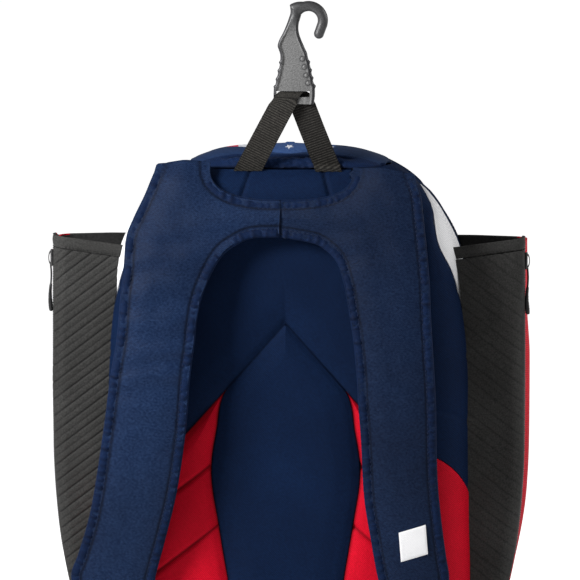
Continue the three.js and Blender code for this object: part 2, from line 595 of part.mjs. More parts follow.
function buildSleeve(side) {
  const shell = sleeveForm(side, 0).subtract(sleeveForm(side, SLEEVE_WALL))
    .subtract(bodyClear).intersect(belowMouth(side, 0));
  const slab = (y0, y1, z0, z1) => box([-2 * FAR_OUT, y0, z0], [2 * FAR_OUT, y1, z1]);
  const near = shell.intersect(slab(-OVERCUT, ZIP_LINE - halfGap, 2 * BASE, 0));
  const hem = near.subtract(belowMouth(side, SLEEVE_HEM - halfGap));
  const grooved = near.intersect(belowMouth(side, SLEEVE_HEM + halfGap)).subtract(sleeveGrooves(side));
  addPiece(`bat_sleeve_hem_${side.name}`, hem, materials.black);
  addPiece(`bat_sleeve_near_${side.name}`, grooved, materials.grooved);

  const far = shell.intersect(slab(ZIP_LINE + halfGap, 2 * BODY_DEPTH, 2 * BASE, 0));
  const zipBottom = SLEEVE_MOUTH - SLEEVE_HEIGHT * 0.8;
  const outerHalf = (gap) => {
    const from = BODY_OFFSET + side.sign * (HALF_WIDTH + SLEEVE_REACH * 0.35 - gap);
    const to = BODY_OFFSET + side.sign * FAR_OUT;
    return box([Math.min(from, to), ZIP_LINE, zipBottom - gap],
      [Math.max(from, to), ZIP_LINE + SLEEVE_ZIP_WIDTH + gap, 0]);
  };
  addPiece(`bat_sleeve_zip_${side.name}`, far.intersect(outerHalf(0)), materials.black);
  addPiece(`bat_sleeve_far_${side.name}`, far.subtract(outerHalf(SEAM_GAP)), materials.red);

  const lining = sleeveForm(side, SLEEVE_WALL + SEAM_GAP)
    .subtract(sleeveForm(side, SLEEVE_WALL + SEAM_GAP + LINING_WALL))
    .subtract(bodyClear)
    .intersect(belowMouth(side, 1))
    .subtract(belowMouth(side, LINING_HEIGHT))
    .intersect(slab(ZIP_LINE + SLEEVE_CORNER, 2 * BODY_DEPTH, 2 * BASE, 0));
  addPiece(`bat_sleeve_lining_${side.name}`, lining, materials.black);
  buildSlider(side);
}

// Zip slider on the sleeve's outer edge, with a moulded pull on a short cord.
function buildSlider(side) {
  const wall = BODY_OFFSET + side.sign * (HALF_WIDTH + SLEEVE_REACH + SEAM_GAP);
  const far = wall + side.sign * SLIDER_THICKNESS;
  const top = SLEEVE_MOUTH - SLEEVE_HEM;
  const middle = ZIP_LINE + SLEEVE_ZIP_WIDTH / 2;
  addPiece(`sleeve_slider_${side.name}`,
    box([Math.min(wall, far), middle - SLIDER_WIDTH / 2, top - SLIDER_LENGTH],
      [Math.max(wall, far), middle + SLIDER_WIDTH / 2, top]), materials.zipMetal);
  const hang = (wall + far) / 2;
  const cordTop = top - SLIDER_LENGTH - SEAM_GAP;
  const cordRadius = PULL_CORD_DIAMETER / 2;
  const intoGrip = 4;
  const cord = new THREE.CylinderGeometry(cordRadius, cordRadius, PULL_CORD_LENGTH + intoGrip, 8);
  cord.rotateX(Math.PI / 2);
  cord.translate(hang, middle, cordTop - PULL_CORD_LENGTH / 2 - intoGrip / 2);
  const grip = new THREE.CylinderGeometry(PULL_WIDTH * 0.3, PULL_WIDTH / 2, PULL_LENGTH, 10);
  grip.rotateX(Math.PI / 2);
  grip.scale(0.6, 1, 1);
  grip.translate(hang, middle, cordTop - PULL_CORD_LENGTH - PULL_LENGTH / 2);
  addPiece(`sleeve_pull_${side.name}`, solidOf(cord).add(solidOf(grip)), materials.black);
}

// Shoulder harness: two halves that meet at a centre seam under the neck cutout.
function planPoint(side, out, drop) {
  return new THREE.Vector2(BODY_OFFSET + side.sign * out * HALF_WIDTH, HARNESS_TOP - drop * HARNESS_DROP);
}

// The neck cutout from the centre seam up to the top edge, on a flattened ellipse.
function neckEdge(side) {
  const steps = 10;
  const power = 2.6;
  const seam = BODY_OFFSET + CENTER_SEAM * HALF_WIDTH;
  const points = [new THREE.Vector2(seam + side.sign * halfGap, HARNESS_TOP - NECK_DEPTH)];
  for (let step = 2; step <= steps; step += 1) {
    const angle = step / steps * Math.PI / 2;
    points.push(new THREE.Vector2(
      seam + side.sign * NECK_WIDTH / 2 * Math.sin(angle) ** (2 / power),
      HARNESS_TOP - side.neckTop - (NECK_DEPTH - side.neckTop) * Math.cos(angle) ** (2 / power)));
  }
  return points;
}

function strapEdge(side) {
  const seam = BODY_OFFSET + CENTER_SEAM * HALF_WIDTH + side.sign * halfGap;
  const rows = side.strapEdge.map((row) => planPoint(side, row.out, row.drop));
  const points = new THREE.SplineCurve(rows).getPoints(96);
  points.at(-1).x = seam;
  return points;
}

// A band along an edge, between two distances from it towards the strap's middle.
function edgeBand(points, nearSide, farSide, turn) {
  const offset = (distance) => points.map((point, i) => {
    const before = points[Math.max(i - 1, 0)];
    const after = points[Math.min(i + 1, points.length - 1)];
    const along = after.clone().sub(before).normalize();
    return point.clone().add(new THREE.Vector2(-along.y, along.x).multiplyScalar(turn * distance));
  });
  const clear = offset(farSide).filter((place) => (
    points.every((point) => place.distanceTo(point) > farSide * 0.98)));
  return [...offset(nearSide), ...clear.reverse()];
}

// Room between a strap's back face and a plane further out, as a prism across the bag.
function strapSlab(side, nearInset, farInset) {
  const curve = new THREE.SplineCurve(STRAP_PROFILE.map((row) => new THREE.Vector2(
    row.seat * BODY_DEPTH - row.bulge * side.stand, HARNESS_TOP - row.drop * HARNESS_DROP)));
  const back = curve.getPoints(26);
  const shift = (points, amount) => points.map((point) => new THREE.Vector2(point.x - amount, point.y));
  const outline = [...shift(back, nearInset), ...shift(back, farInset).reverse()];
  return prismAlongX(outline, -2 * FAR_OUT, 2 * FAR_OUT);
}

function buildStrap(side) {
  const edge = strapEdge(side);
  const neck = neckEdge(side);
  const turn = side.sign < 0 ? 1 : -1;
  const plan = prismAlongY([...edge, ...neck], -BODY_DEPTH, BODY_DEPTH);
  const bands = {
    strap_binding: { points: edge, turn },
    neck_binding: { points: neck, turn },
  };
  const inset = (STRAP_THICKNESS - BINDING_THICKNESS) / 2;
  let pad = plan.intersect(strapSlab(side, 0, STRAP_THICKNESS)).subtract(bodyClear);
  const seam = BODY_OFFSET + CENTER_SEAM * HALF_WIDTH;
  const half = side.sign < 0
    ? box([-2 * FAR_OUT, -BODY_DEPTH, 2 * BASE], [seam - halfGap, BODY_DEPTH, 0])
    : box([seam + halfGap, -BODY_DEPTH, 2 * BASE], [2 * FAR_OUT, BODY_DEPTH, 0]);
  for (const [name, band] of Object.entries(bands)) {
    const cut = edgeBand(band.points, -BINDING_WIDTH / 4, BINDING_WIDTH + SEAM_GAP, band.turn);
    pad = pad.subtract(prismAlongY(cut, -BODY_DEPTH, BODY_DEPTH));
  }
  const tapeSlab = strapSlab(side, inset, inset + BINDING_THICKNESS);
  const strip = (band) => {
    const outline = edgeBand(band.points, 0, BINDING_WIDTH, band.turn);
    const tape = prismAlongY(outline, -BODY_DEPTH, BODY_DEPTH).intersect(tapeSlab);
    return tape.subtract(bodyClear).intersect(half);
  };
  const perimeter = strip(bands.strap_binding);
  const perimeterClear = prismAlongY(
    edgeBand(edge, -BINDING_WIDTH / 4, BINDING_WIDTH + SEAM_GAP, turn), -BODY_DEPTH, BODY_DEPTH);
  addPiece(`shoulder_strap_${side.name}`, pad.intersect(half), materials.navyTwill);
  addPiece(`strap_binding_${side.name}`, perimeter, materials.navyMesh);
  const neckTape = strip(bands.neck_binding).subtract(perimeterClear);
  addPiece(`neck_binding_${side.name}`, neckTape, materials.navyMesh);
}

// A bare woven label on the right strap.
function buildLabel() {
  const side = sides[1];
  const corner = planPoint(side, 0.63, 0.83);
  const outline = [
    corner,
    corner.clone().add(new THREE.Vector2(LABEL_WIDTH, LABEL_WIDTH * 0.31)),
    corner.clone().add(new THREE.Vector2(LABEL_WIDTH * 1.08, LABEL_WIDTH * 0.31 - LABEL_HEIGHT)),
    corner.clone().add(new THREE.Vector2(LABEL_WIDTH * 0.08, -LABEL_HEIGHT)),
  ];
  const near = STRAP_THICKNESS + SEAM_GAP;
  addPiece('strap_label', prismAlongY(outline, -BODY_DEPTH, BODY_DEPTH)
    .intersect(strapSlab(side, near, near + LABEL_THICKNESS)), materials.white);
}

// A strap's lower end: a plain ladder lock under the pad and a webbing down to the base seam.
function buildLowerEnd(side) {
  const endRow = side.strapEdge.find((row) => row.drop === 1);
  const end = planPoint(side, endRow.out, 1);
  const bulge = STRAP_PROFILE.at(-1).bulge;
  const middle = -bulge * side.stand - STRAP_THICKNESS / 2;
  const top = end.y - SEAM_GAP;
  const bottom = top - LOCK_HEIGHT;
  const lockHalf = LOCK_WIDTH / 2;
  const lockThick = LOCK_THICKNESS / 2;
  let lock = box([end.x - lockHalf, middle - lockThick, bottom], [end.x + lockHalf, middle + lockThick, top]);
  const slotHalf = WEBBING_WIDTH / 2 + 1;
  const slotHeight = (LOCK_HEIGHT - 3 * LOCK_BAR) / 2;
  for (const row of [0, 1]) {
    const slotBottom = bottom + LOCK_BAR + row * (slotHeight + LOCK_BAR);
    lock = lock.subtract(box([end.x - slotHalf, middle - LOCK_THICKNESS, slotBottom],
      [end.x + slotHalf, middle + LOCK_THICKNESS, slotBottom + slotHeight]));
  }
  addPiece(`ladder_lock_${side.name}`, lock, materials.plastic);

  const webHalf = WEBBING_WIDTH / 2;
  const slotMiddle = bottom + LOCK_BAR + slotHeight / 2;
  const thick = WEBBING_THICKNESS / 2;
  const front = middle - lockThick - SEAM_GAP - thick;
  const rear = middle + lockThick + SEAM_GAP + thick;
  const path = [
    [front, bottom - TAIL_LENGTH], [front, slotMiddle], [rear, slotMiddle],
    [rear, bottom - LOCK_BAR], [BODY_DEPTH * 0.06, BASE + BOTTOM_TRAY_HEIGHT + WEBBING_THICKNESS],
  ].map(([y, z]) => new THREE.Vector2(y, z));
  const outline = [...offsetPath(path, thick), ...offsetPath(path, -thick).reverse()];
  addPiece(`lower_webbing_${side.name}`,
    prismAlongX(outline, end.x - webHalf, end.x + webHalf).subtract(bodyClear), materials.webbing);
}

// A path moved sideways by a distance, with mitred corners.
function offsetPath(path, distance) {
  return path.map((point, i) => {
    const before = path[Math.max(i - 1, 0)];
    const after = path[Math.min(i + 1, path.length - 1)];
    const a = (i === 0 ? after.clone().sub(point) : point.clone().sub(before)).normalize();
    const b = (i === path.length - 1 ? point.clone().sub(before) : after.clone().sub(point)).normalize();
    const normal = new THREE.Vector2(-(a.y + b.y), a.x + b.x).normalize();
    return point.clone().addScaledVector(normal, distance / Math.sqrt((1 + a.dot(b)) / 2));
  });
}

buildHook();
buildHookWebbing();
buildBody();
for (const side of sides) {
  buildSleeve(side);
  buildStrap(side);
  buildLowerEnd(side);
}
buildLabel();

export default group;
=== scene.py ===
# %% [markdown]
# # A baseball bat backpack, hanging from its fence hook
# The bag is seen from the side that lies against the wearer's back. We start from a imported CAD
# model, which gives every size and place, and dress it piece by piece in cloth, mesh, webbing and
# moulded plastic. Lengths are in metres, Z is up, and the straps face -Y.

# %% Load the CAD frame
import bpy
import math
from functools import lru_cache
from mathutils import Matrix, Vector
from mathutils.kdtree import KDTree


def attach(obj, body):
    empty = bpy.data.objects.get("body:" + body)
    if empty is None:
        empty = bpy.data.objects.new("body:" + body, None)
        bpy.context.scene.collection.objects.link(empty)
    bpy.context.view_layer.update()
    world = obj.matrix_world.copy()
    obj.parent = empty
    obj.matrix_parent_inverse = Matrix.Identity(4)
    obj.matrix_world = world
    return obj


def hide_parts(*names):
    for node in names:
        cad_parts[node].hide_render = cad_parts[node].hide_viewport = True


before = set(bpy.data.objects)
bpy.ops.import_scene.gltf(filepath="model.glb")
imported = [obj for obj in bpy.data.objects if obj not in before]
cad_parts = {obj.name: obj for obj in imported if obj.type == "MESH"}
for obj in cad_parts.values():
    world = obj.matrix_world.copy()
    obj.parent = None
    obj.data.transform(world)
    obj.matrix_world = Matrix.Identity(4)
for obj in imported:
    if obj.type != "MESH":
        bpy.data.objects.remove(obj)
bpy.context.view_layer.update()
bpy.ops.object.select_all(action="DESELECT")
print("CAD nodes:", len(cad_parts))

# %% [markdown]
# The camera comes first. The photograph is taken with a long lens from a little above and a
# little to the right, so that the tops of the bat sleeves can be looked into. A very long lens
# from twelve metres keeps upright edges parallel and near and far parts to one scale, as there.

# %% Camera
VIEW_AZIMUTH = math.radians(3.5)
VIEW_ELEVATION = math.radians(6.5)
VIEW_DISTANCE = 12.0
PICTURE_WIDTH = 0.58
AIM = Vector((-0.0185, 0, -0.280))

level = math.cos(VIEW_ELEVATION)
toward_camera = Vector((math.sin(VIEW_AZIMUTH) * level, -math.cos(VIEW_AZIMUTH) * level,
                        math.sin(VIEW_ELEVATION)))
bpy.ops.object.camera_add(location=AIM + toward_camera * VIEW_DISTANCE)
camera = bpy.context.object
camera.rotation_euler = (math.pi / 2 - VIEW_ELEVATION, 0, VIEW_AZIMUTH)
camera.data.lens = camera.data.sensor_width * VIEW_DISTANCE / PICTURE_WIDTH
camera.data.clip_end = 200
bpy.context.scene.camera = camera
print("Lens in millimetres:", round(camera.data.lens))

# %% [markdown]
# The same named sizes that drive the CAD model are repeated here, so that each piece of cloth
# lies where its solid does.

# %% Sizes of the bag
BODY_WIDTH = 0.366
BODY_HEIGHT = 0.508
BODY_DEPTH = 0.215
BODY_OFFSET = -0.023
TOP_SEAM = -0.159
CREST = -0.144
BASE = CREST - BODY_HEIGHT
HALF_WIDTH = BODY_WIDTH / 2
CLOTH_WALL = 0.0024
BACK_PAD = 0.009
SEAM_GAP = 0.0004
BACK_PANEL_HALF = 0.138
BACK_PANEL_REACH = 0.0279
TRAY_TOP = BASE + 0.018
ZIP_BACK = 0.1333
ZIP_FRONT = 0.1413
STAR_BAND_BACK = 0.043
STAR_BAND_FRONT = 0.097
CHEVRON_APEX = -0.315
CENTER_HALF = 0.0745
CENTER_BOTTOM = -0.672

BODY_SECTIONS = [
    (0.0, 0.9, 0.035, 0.95, 0.2),
    (0.03, 0.97, 0.006, 0.985, 0.24),
    (0.08, 1.0, 0.0, 1.0, 0.26),
    (0.3, 1.0, 0.0, 1.0, 0.26),
    (0.55, 0.993, 0.0, 0.99, 0.26),
    (0.7, 0.965, 0.0, 0.955, 0.26),
    (0.8, 0.92, 0.0, 0.9, 0.26),
    (0.875, 0.82, 0.004, 0.82, 0.25),
    (0.92, 0.725, 0.02, 0.75, 0.24),
    (0.957, 0.615, 0.06, 0.67, 0.22),
    (0.985, 0.465, 0.15, 0.575, 0.17),
    (1.0, 0.3, 0.26, 0.47, 0.1),
    (1.006, 0.02, 0.36, 0.372, 0.004),
]
print("Body sections:", len(BODY_SECTIONS))

# %% [markdown]
# A table of a few rows becomes a smooth form if the rows are joined by a curve that passes
# through each of them. This is what a loft does, and writing it as a function lets us ask for
# any point of the body, so that panels can be laid on it like cloth on a dressmaker's form.

# %% A smooth curve through the rows of a table
def blend_rows(rows, key):
    """The values between the rows of a table, on a smooth curve through them."""
    key = min(max(key, rows[0][0]), rows[-1][0])
    low = 0
    while low < len(rows) - 2 and rows[low + 1][0] < key:
        low += 1
    start = rows[low]
    end = rows[low + 1]
    before = rows[max(low - 1, 0)]
    after = rows[min(low + 2, len(rows) - 1)]
    span = end[0] - start[0]
    share = (key - start[0]) / span
    values = []
    for column in range(1, len(start)):
        leave = (end[column] - before[column]) / (end[0] - before[0]) * span
        arrive = (after[column] - start[column]) / (after[0] - start[0]) * span
        values.append(
            start[column] * (2 * share ** 3 - 3 * share ** 2 + 1)
            + leave * (share ** 3 - 2 * share ** 2 + share)
            + end[column] * (3 * share ** 2 - 2 * share ** 3)
            + arrive * (share ** 3 - share ** 2))
    return values


def mix(a, b, share):
    return a + (b - a) * share


def fade(value, low, high):
    """Rises smoothly from 0 at low to 1 at high."""
    share = min(max((value - low) / (high - low), 0), 1)
    return share * share * (3 - 2 * share)


@lru_cache(maxsize=None)
def body_section(z):
    """Half width, back, front and corner radius of the body at a height."""
    half, back, front, corner = blend_rows(BODY_SECTIONS, (z - BASE) / BODY_HEIGHT)
    return half * HALF_WIDTH, back * BODY_DEPTH, front * BODY_DEPTH, corner * BODY_DEPTH


print("Half width at the shoulders:", round(body_section(-0.2)[0], 4))

# %% [markdown]
# The body's outline at one height is a rectangle with round corners. A run is the way along it
# from the middle of the back, round the corner and on to the middle of the front.

# %% Points on the body's outline
def outline_lengths(z):
    half, back, front, corner = body_section(z)
    flat = half - corner
    turn = corner * math.pi / 2
    side = max(front - back - 2 * corner, 0)
    return flat, turn, side


def body_point(z, run, wall=0.0):
    """A point of the outline, to the right for a positive run and to the left for a negative."""
    half, back, front, corner = body_section(z)
    flat, turn, side = outline_lengths(z)
    sign = 1 if run >= 0 else -1
    way = abs(run)
    if way < flat:
        across, depth, lean = way, back, 0.0
    elif way < flat + turn:
        lean = (way - flat) / corner
        across = flat + corner * math.sin(lean)
        depth = back + corner * (1 - math.cos(lean))
    elif way < flat + turn + side:
        lean = math.pi / 2
        across, depth = half, back + corner + way - flat - turn
    elif way < flat + 2 * turn + side:
        lean = math.pi / 2 + (way - flat - turn - side) / corner
        across = flat + corner * math.sin(lean)
        depth = front - corner - corner * math.cos(lean)
    else:
        lean = math.pi
        across, depth = max(2 * flat + 2 * turn + side - way, 0), front
    across += wall * math.sin(lean)
    depth -= wall * math.cos(lean)
    return Vector((BODY_OFFSET + sign * across, depth, z))


def run_to_x(z, x):
    half, back, front, corner = body_section(z)
    if x < half - corner:
        return x
    return half - corner + corner * math.asin(min((x - half + corner) / corner, 1))


def run_to_y(z, y):
    half, back, front, corner = body_section(z)
    flat, turn, side = outline_lengths(z)
    if y <= back:
        return 0
    if y < back + corner:
        return flat + corner * math.acos(1 - (y - back) / corner)
    if y < front - corner:
        return flat + turn + y - back - corner
    return flat + turn + side + corner * math.asin(min((y - front + corner) / corner, 1))


def back_depth(x, z):
    """How far back from the straps' plane the body's back face lies at x from its middle."""
    return body_point(z, run_to_x(z, min(abs(x), body_section(z)[0]))).y


def inside_body(x, y, z):
    half, back, front, corner = body_section(z)
    over_x = abs(x) - (half - corner)
    over_y = max(back + corner - y, y - front + corner)
    if max(over_x, over_y) > corner:
        return False
    if min(over_x, over_y) < 0:
        return True
    return over_x ** 2 + over_y ** 2 < corner ** 2


def crown_height(x, y):
    """The height of the body's top over a point, found by halving the interval."""
    low = -0.23
    high = CREST + 0.004
    for _ in range(24):
        middle = (low + high) / 2
        if inside_body(x, y, middle):
            low = middle
        else:
            high = middle
    return low


print("Height of the crown in the middle:", round(crown_height(0, 0.078), 4))

# %% [markdown]
# Cloth panels start as a flat grid primitive. Each of its points is then carried to its place on
# the bag, and lifted or sunk along the surface's normal, which is how padding, seams and quilting
# are sculpted. The grid's UV map keeps the cloth's own directions for the weave.

# %% Helpers for laying and finishing cloth
def lay_grid(name, columns, rows, place, relief=None, lengths=(1.0, 1.0), dark=None):
    """A grid whose points go to place(across, up), then along their normals by relief.

    dark(across, up, point) gives the painted shade there, such as the shadow in a seam, groove or fold."""
    bpy.ops.mesh.primitive_grid_add(x_subdivisions=columns, y_subdivisions=rows, size=2)
    piece = bpy.context.object
    piece.name = name
    mesh = piece.data
    mesh.name = name
    shares = []
    for point in mesh.vertices:
        across = (point.co.x + 1) / 2
        up = (point.co.y + 1) / 2
        shares.append((across, up))
        point.co = place(across, up)
    for corner in mesh.uv_layers[0].data:
        corner.uv = (corner.uv[0] * lengths[0], corner.uv[1] * lengths[1])
    mesh.update()
    if relief:
        normals = [point.normal.copy() for point in mesh.vertices]
        for point, normal, (across, up) in zip(mesh.vertices, normals, shares):
            point.co += normal * relief(across, up, point.co)
        mesh.update()
    # Painted shade is stored as the shade attribute, which the finishes multiply in.
    if dark:
        shade = mesh.attributes.new("shade", "FLOAT", "POINT")
        for point, (across, up) in zip(mesh.vertices, shares):
            shade.data[point.index].value = dark(across, up, point.co)
    return piece


def apply_modifier(piece, kind, **settings):
    bpy.ops.object.select_all(action="DESELECT")
    piece.select_set(True)
    bpy.context.view_layer.objects.active = piece
    modifier = piece.modifiers.new(kind.title(), kind)
    for setting, value in settings.items():
        setattr(modifier, setting, value)
    bpy.ops.object.modifier_apply(modifier=modifier.name)


def join_pieces(first, *others):
    bpy.ops.object.select_all(action="DESELECT")
    for piece in (first, *others):
        piece.select_set(True)
    bpy.context.view_layer.objects.active = first
    bpy.ops.object.join()
    return first


def weld(piece, distance=0.00005):
    bpy.ops.object.select_all(action="DESELECT")
    piece.select_set(True)
    bpy.context.view_layer.objects.active = piece
    bpy.ops.object.mode_set(mode="EDIT")
    bpy.ops.mesh.select_all(action="SELECT")
    bpy.ops.mesh.remove_doubles(threshold=distance)
    bpy.ops.object.mode_set(mode="OBJECT")


def face_outward(piece):
    """Turn the faces of a closed mesh outwards."""
    bpy.ops.object.select_all(action="DESELECT")
    piece.select_set(True)
    bpy.context.view_layer.objects.active = piece
    bpy.ops.object.mode_set(mode="EDIT")
    bpy.ops.mesh.select_all(action="SELECT")
    bpy.ops.mesh.normals_make_consistent(inside=False)
    bpy.ops.object.mode_set(mode="OBJECT")


def dress(piece, finish, slot, *nodes, padded=None):
    """The last step of each piece: smooth shading, finish, body, and the solid it stands for."""
    bpy.ops.object.select_all(action="DESELECT")
    piece.select_set(True)
    bpy.context.view_layer.objects.active = piece
    bpy.ops.object.shade_smooth_by_angle(angle=math.radians(50))
    piece.data.materials.clear()
    piece.data.materials.append(finish)
    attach(piece, "root")
    if nodes:
        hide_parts(*nodes)
    bpy.ops.object.select_all(action="DESELECT")
    print(piece.name, len(piece.data.polygons), "faces")


def ripple(x, z, size, seed=0.0):
    """Uneven waves of about one unit, the same each run, for creases in cloth."""
    u = x / size + seed
    v = z / size - seed * 0.7
    return (math.sin(u * 1.9 + math.sin(v * 1.3 + seed) * 1.4)
            * math.sin(v * 2.3 + math.sin(u * 0.9) * 1.1) * 0.6
            + math.sin(u * 4.1 + v * 2.7 + seed * 3) * 0.25
            + math.sin(v * 5.3 - u * 1.7) * 0.15)


def on_line(distance, width):
    """1 on a line, and falling to nothing over about twice its width."""
    return math.exp(-(distance / width) ** 2)


def seam_dip(distance, depth=0.0022, width=0.006):
    """Cloth is pulled down where it is sewn."""
    return -depth * on_line(distance, width)


print("Helpers are ready")

# %% [markdown]
# ## Finishes
# Woven cloth is never one colour. Light catches the top of each thread, so a finish mixes a deep
# and a light tone by a fine noise, drifts slowly in tone over the panel, and lifts the threads
# with a bump. Object coordinates keep the weave at its real scale on every piece.

# %% Building blocks for the finishes
def new_finish(name, roughness, sheen=0.0, sheen_tint=(1, 1, 1, 1), coat=0.0, metallic=0.0, gloss=0.2):
    finish = bpy.data.materials.new(name)
    finish.use_nodes = True
    tree = finish.node_tree
    shader = tree.nodes["Principled BSDF"]
    shader.inputs["Roughness"].default_value = roughness
    shader.inputs["Metallic"].default_value = metallic
    shader.inputs["Sheen Weight"].default_value = sheen
    shader.inputs["Sheen Roughness"].default_value = 0.4
    shader.inputs["Sheen Tint"].default_value = sheen_tint
    shader.inputs["Coat Weight"].default_value = coat
    shader.inputs["Specular IOR Level"].default_value = gloss
    place = tree.nodes.new("ShaderNodeTexCoord")
    return finish, tree, shader, place


# Colour of the deepest painted shade, multiplied into a finish where the shade attribute is 1.
DEEPEST_PAINTED_SHADE = (0.12, 0.12, 0.14, 1)


def with_painted_shade(tree, color):
    """The shade attribute deepens the colour: painted shade in seams, grooves and folds, and the darker rim
    and crook of the hook.
    """
    attribute = tree.nodes.new("ShaderNodeAttribute")
    attribute.attribute_name = "shade"
    node = tree.nodes.new("ShaderNodeMix")
    node.data_type = "RGBA"
    node.blend_type = "MULTIPLY"
    node.inputs[7].default_value = DEEPEST_PAINTED_SHADE
    tree.links.new(attribute.outputs["Fac"], node.inputs[0])
    tree.links.new(color, node.inputs[6])
    return node.outputs[2]


def noise(tree, place, scale, detail=2.0, stretch=(1, 1, 1), turn=0.0, output="Object"):
    mapping = tree.nodes.new("ShaderNodeMapping")
    mapping.inputs["Scale"].default_value = stretch
    mapping.inputs["Rotation"].default_value = (0, turn, 0)
    tree.links.new(place.outputs[output], mapping.inputs["Vector"])
    texture = tree.nodes.new("ShaderNodeTexNoise")
    texture.inputs["Scale"].default_value = scale
    texture.inputs["Detail"].default_value = detail
    tree.links.new(mapping.outputs["Vector"], texture.inputs["Vector"])
    return texture.outputs["Fac"]


def bands(tree, place, spacing, turn=0.0, distortion=0.0, output="Object", axis="X"):
    """Parallel threads or ribs, a spacing apart."""
    mapping = tree.nodes.new("ShaderNodeMapping")
    mapping.inputs["Rotation"].default_value = (0, turn, 0) if output == "Object" else (0, 0, turn)
    tree.links.new(place.outputs[output], mapping.inputs["Vector"])
    texture = tree.nodes.new("ShaderNodeTexWave")
    texture.bands_direction = axis
    texture.inputs["Scale"].default_value = math.pi / (10 * spacing)
    texture.inputs["Distortion"].default_value = distortion
    texture.inputs["Detail Scale"].default_value = 2.0
    tree.links.new(mapping.outputs["Vector"], texture.inputs["Vector"])
    return texture.outputs["Fac"]


def combine(tree, operation, first, second):
    node = tree.nodes.new("ShaderNodeMath")
    node.operation = operation
    for socket, value in zip(node.inputs, (first, second)):
        if isinstance(value, (int, float)):
            socket.default_value = value
        else:
            tree.links.new(value, socket)
    return node.outputs[0]


def tone(tree, factor, *stops):
    """A colour ramp: each stop is a place from 0 to 1 and a colour."""
    ramp = tree.nodes.new("ShaderNodeValToRGB")
    points = ramp.color_ramp.elements
    while len(points) < len(stops):
        points.new(0.5)
    for point, (position, color) in zip(points, stops):
        point.position = position
        point.color = (*color, 1)
    tree.links.new(factor, ramp.inputs["Fac"])
    return ramp.outputs["Color"]


def blend_colors(tree, kind, share, first, second):
    node = tree.nodes.new("ShaderNodeMix")
    node.data_type = "RGBA"
    node.blend_type = kind
    node.inputs[0].default_value = share
    tree.links.new(first, node.inputs[6])
    tree.links.new(second, node.inputs[7])
    return node.outputs[2]


def lift(tree, shader, height, depth, strength=1.0, below=None):
    """Bump: height is a pattern from 0 to 1, depth its relief in metres."""
    bump = tree.nodes.new("ShaderNodeBump")
    bump.inputs["Strength"].default_value = strength
    bump.inputs["Distance"].default_value = depth
    tree.links.new(height, bump.inputs["Height"])
    if below:
        tree.links.new(below, bump.inputs["Normal"])
    tree.links.new(bump.outputs["Normal"], shader.inputs["Normal"])
    return bump.outputs["Normal"]


def vary_roughness(tree, shader, pattern, low, high):
    spread = tree.nodes.new("ShaderNodeMapRange")
    spread.inputs["To Min"].default_value = low
    spread.inputs["To Max"].default_value = high
    tree.links.new(pattern, spread.inputs["Value"])
    tree.links.new(spread.outputs["Result"], shader.inputs["Roughness"])


print("Node helpers are ready")

# %% [markdown]
# The straps are covered in a polyester twill whose fine diagonal threads shimmer, so its light
# tone is much paler than its deep one. The back pads are an airier mesh that stays darker.

# %% Woven cloths
def woven_cloth(name, deep, light, thread, roughness, sheen, speckle=0.5, turn=0.8, relief=0.0003):
    finish, tree, shader, place = new_finish(name, roughness, sheen, (0.55, 0.65, 0.9, 1), gloss=0.08)
    threads = bands(tree, place, thread, turn, 3.0)
    fleck = noise(tree, place, 0.55 / thread, 3.0, (1, 1, 1.7), turn)
    drift = noise(tree, place, 9.0, 3.0)
    pattern = combine(tree, "ADD", combine(tree, "MULTIPLY", threads, 1 - speckle),
                      combine(tree, "MULTIPLY", fleck, speckle))
    cloth = tone(tree, pattern, (0.3, deep), (0.72, light))
    shade = tone(tree, drift, (0.3, (0.78, 0.78, 0.8)), (0.7, (1.12, 1.12, 1.12)))
    toned = blend_colors(tree, "MULTIPLY", 1.0, cloth, shade)
    tree.links.new(with_painted_shade(tree, toned), shader.inputs["Base Color"])
    vary_roughness(tree, shader, fleck, roughness - 0.12, roughness + 0.12)
    lift(tree, shader, pattern, relief)
    return finish


NAVY_DEEP = (0.001, 0.006, 0.026)

navy_twill = woven_cloth("navy_twill", NAVY_DEEP, (0.013, 0.03, 0.08), 0.0013, 0.5, 0.12, 0.8,
                         relief=0.0006)
navy_mesh = woven_cloth("navy_mesh", NAVY_DEEP, (0.004, 0.015, 0.05), 0.0016, 0.8, 0.0, 0.7)
navy_tape = woven_cloth("navy_tape", (0.0015, 0.007, 0.03), (0.007, 0.02, 0.065), 0.0014, 0.7, 0.02, 0.7)
red_cloth = woven_cloth("red_cloth", (0.4, 0.0005, 0.008), (0.66, 0.004, 0.024), 0.0014, 0.7, 0.0)
white_cloth = woven_cloth("white_cloth", (0.8, 0.8, 0.81), (0.95, 0.95, 0.95), 0.0012, 0.6, 0.0)
print("Woven cloths are ready")

# %% [markdown]
# The bat sleeves are a coated charcoal cloth with pressed grooves, the webbing is a coarse ribbed
# nylon, the trims are black tape, and the hook is a grained moulded plastic.

# %% Other finishes
def trim_cloth(name, deep, light, thread, roughness, relief, gloss=0.2):
    finish, tree, shader, place = new_finish(name, roughness, 0.02, gloss=gloss)
    grain = noise(tree, place, 0.6 / thread, 2.0)
    drift = noise(tree, place, 14.0, 2.0)
    cloth = tone(tree, grain, (0.35, deep), (0.68, light))
    shade = tone(tree, drift, (0.3, (0.8, 0.8, 0.8)), (0.7, (1.15, 1.15, 1.15)))
    toned = blend_colors(tree, "MULTIPLY", 1.0, cloth, shade)
    tree.links.new(with_painted_shade(tree, toned), shader.inputs["Base Color"])
    vary_roughness(tree, shader, grain, roughness - 0.1, roughness + 0.1)
    lift(tree, shader, grain, relief)
    return finish


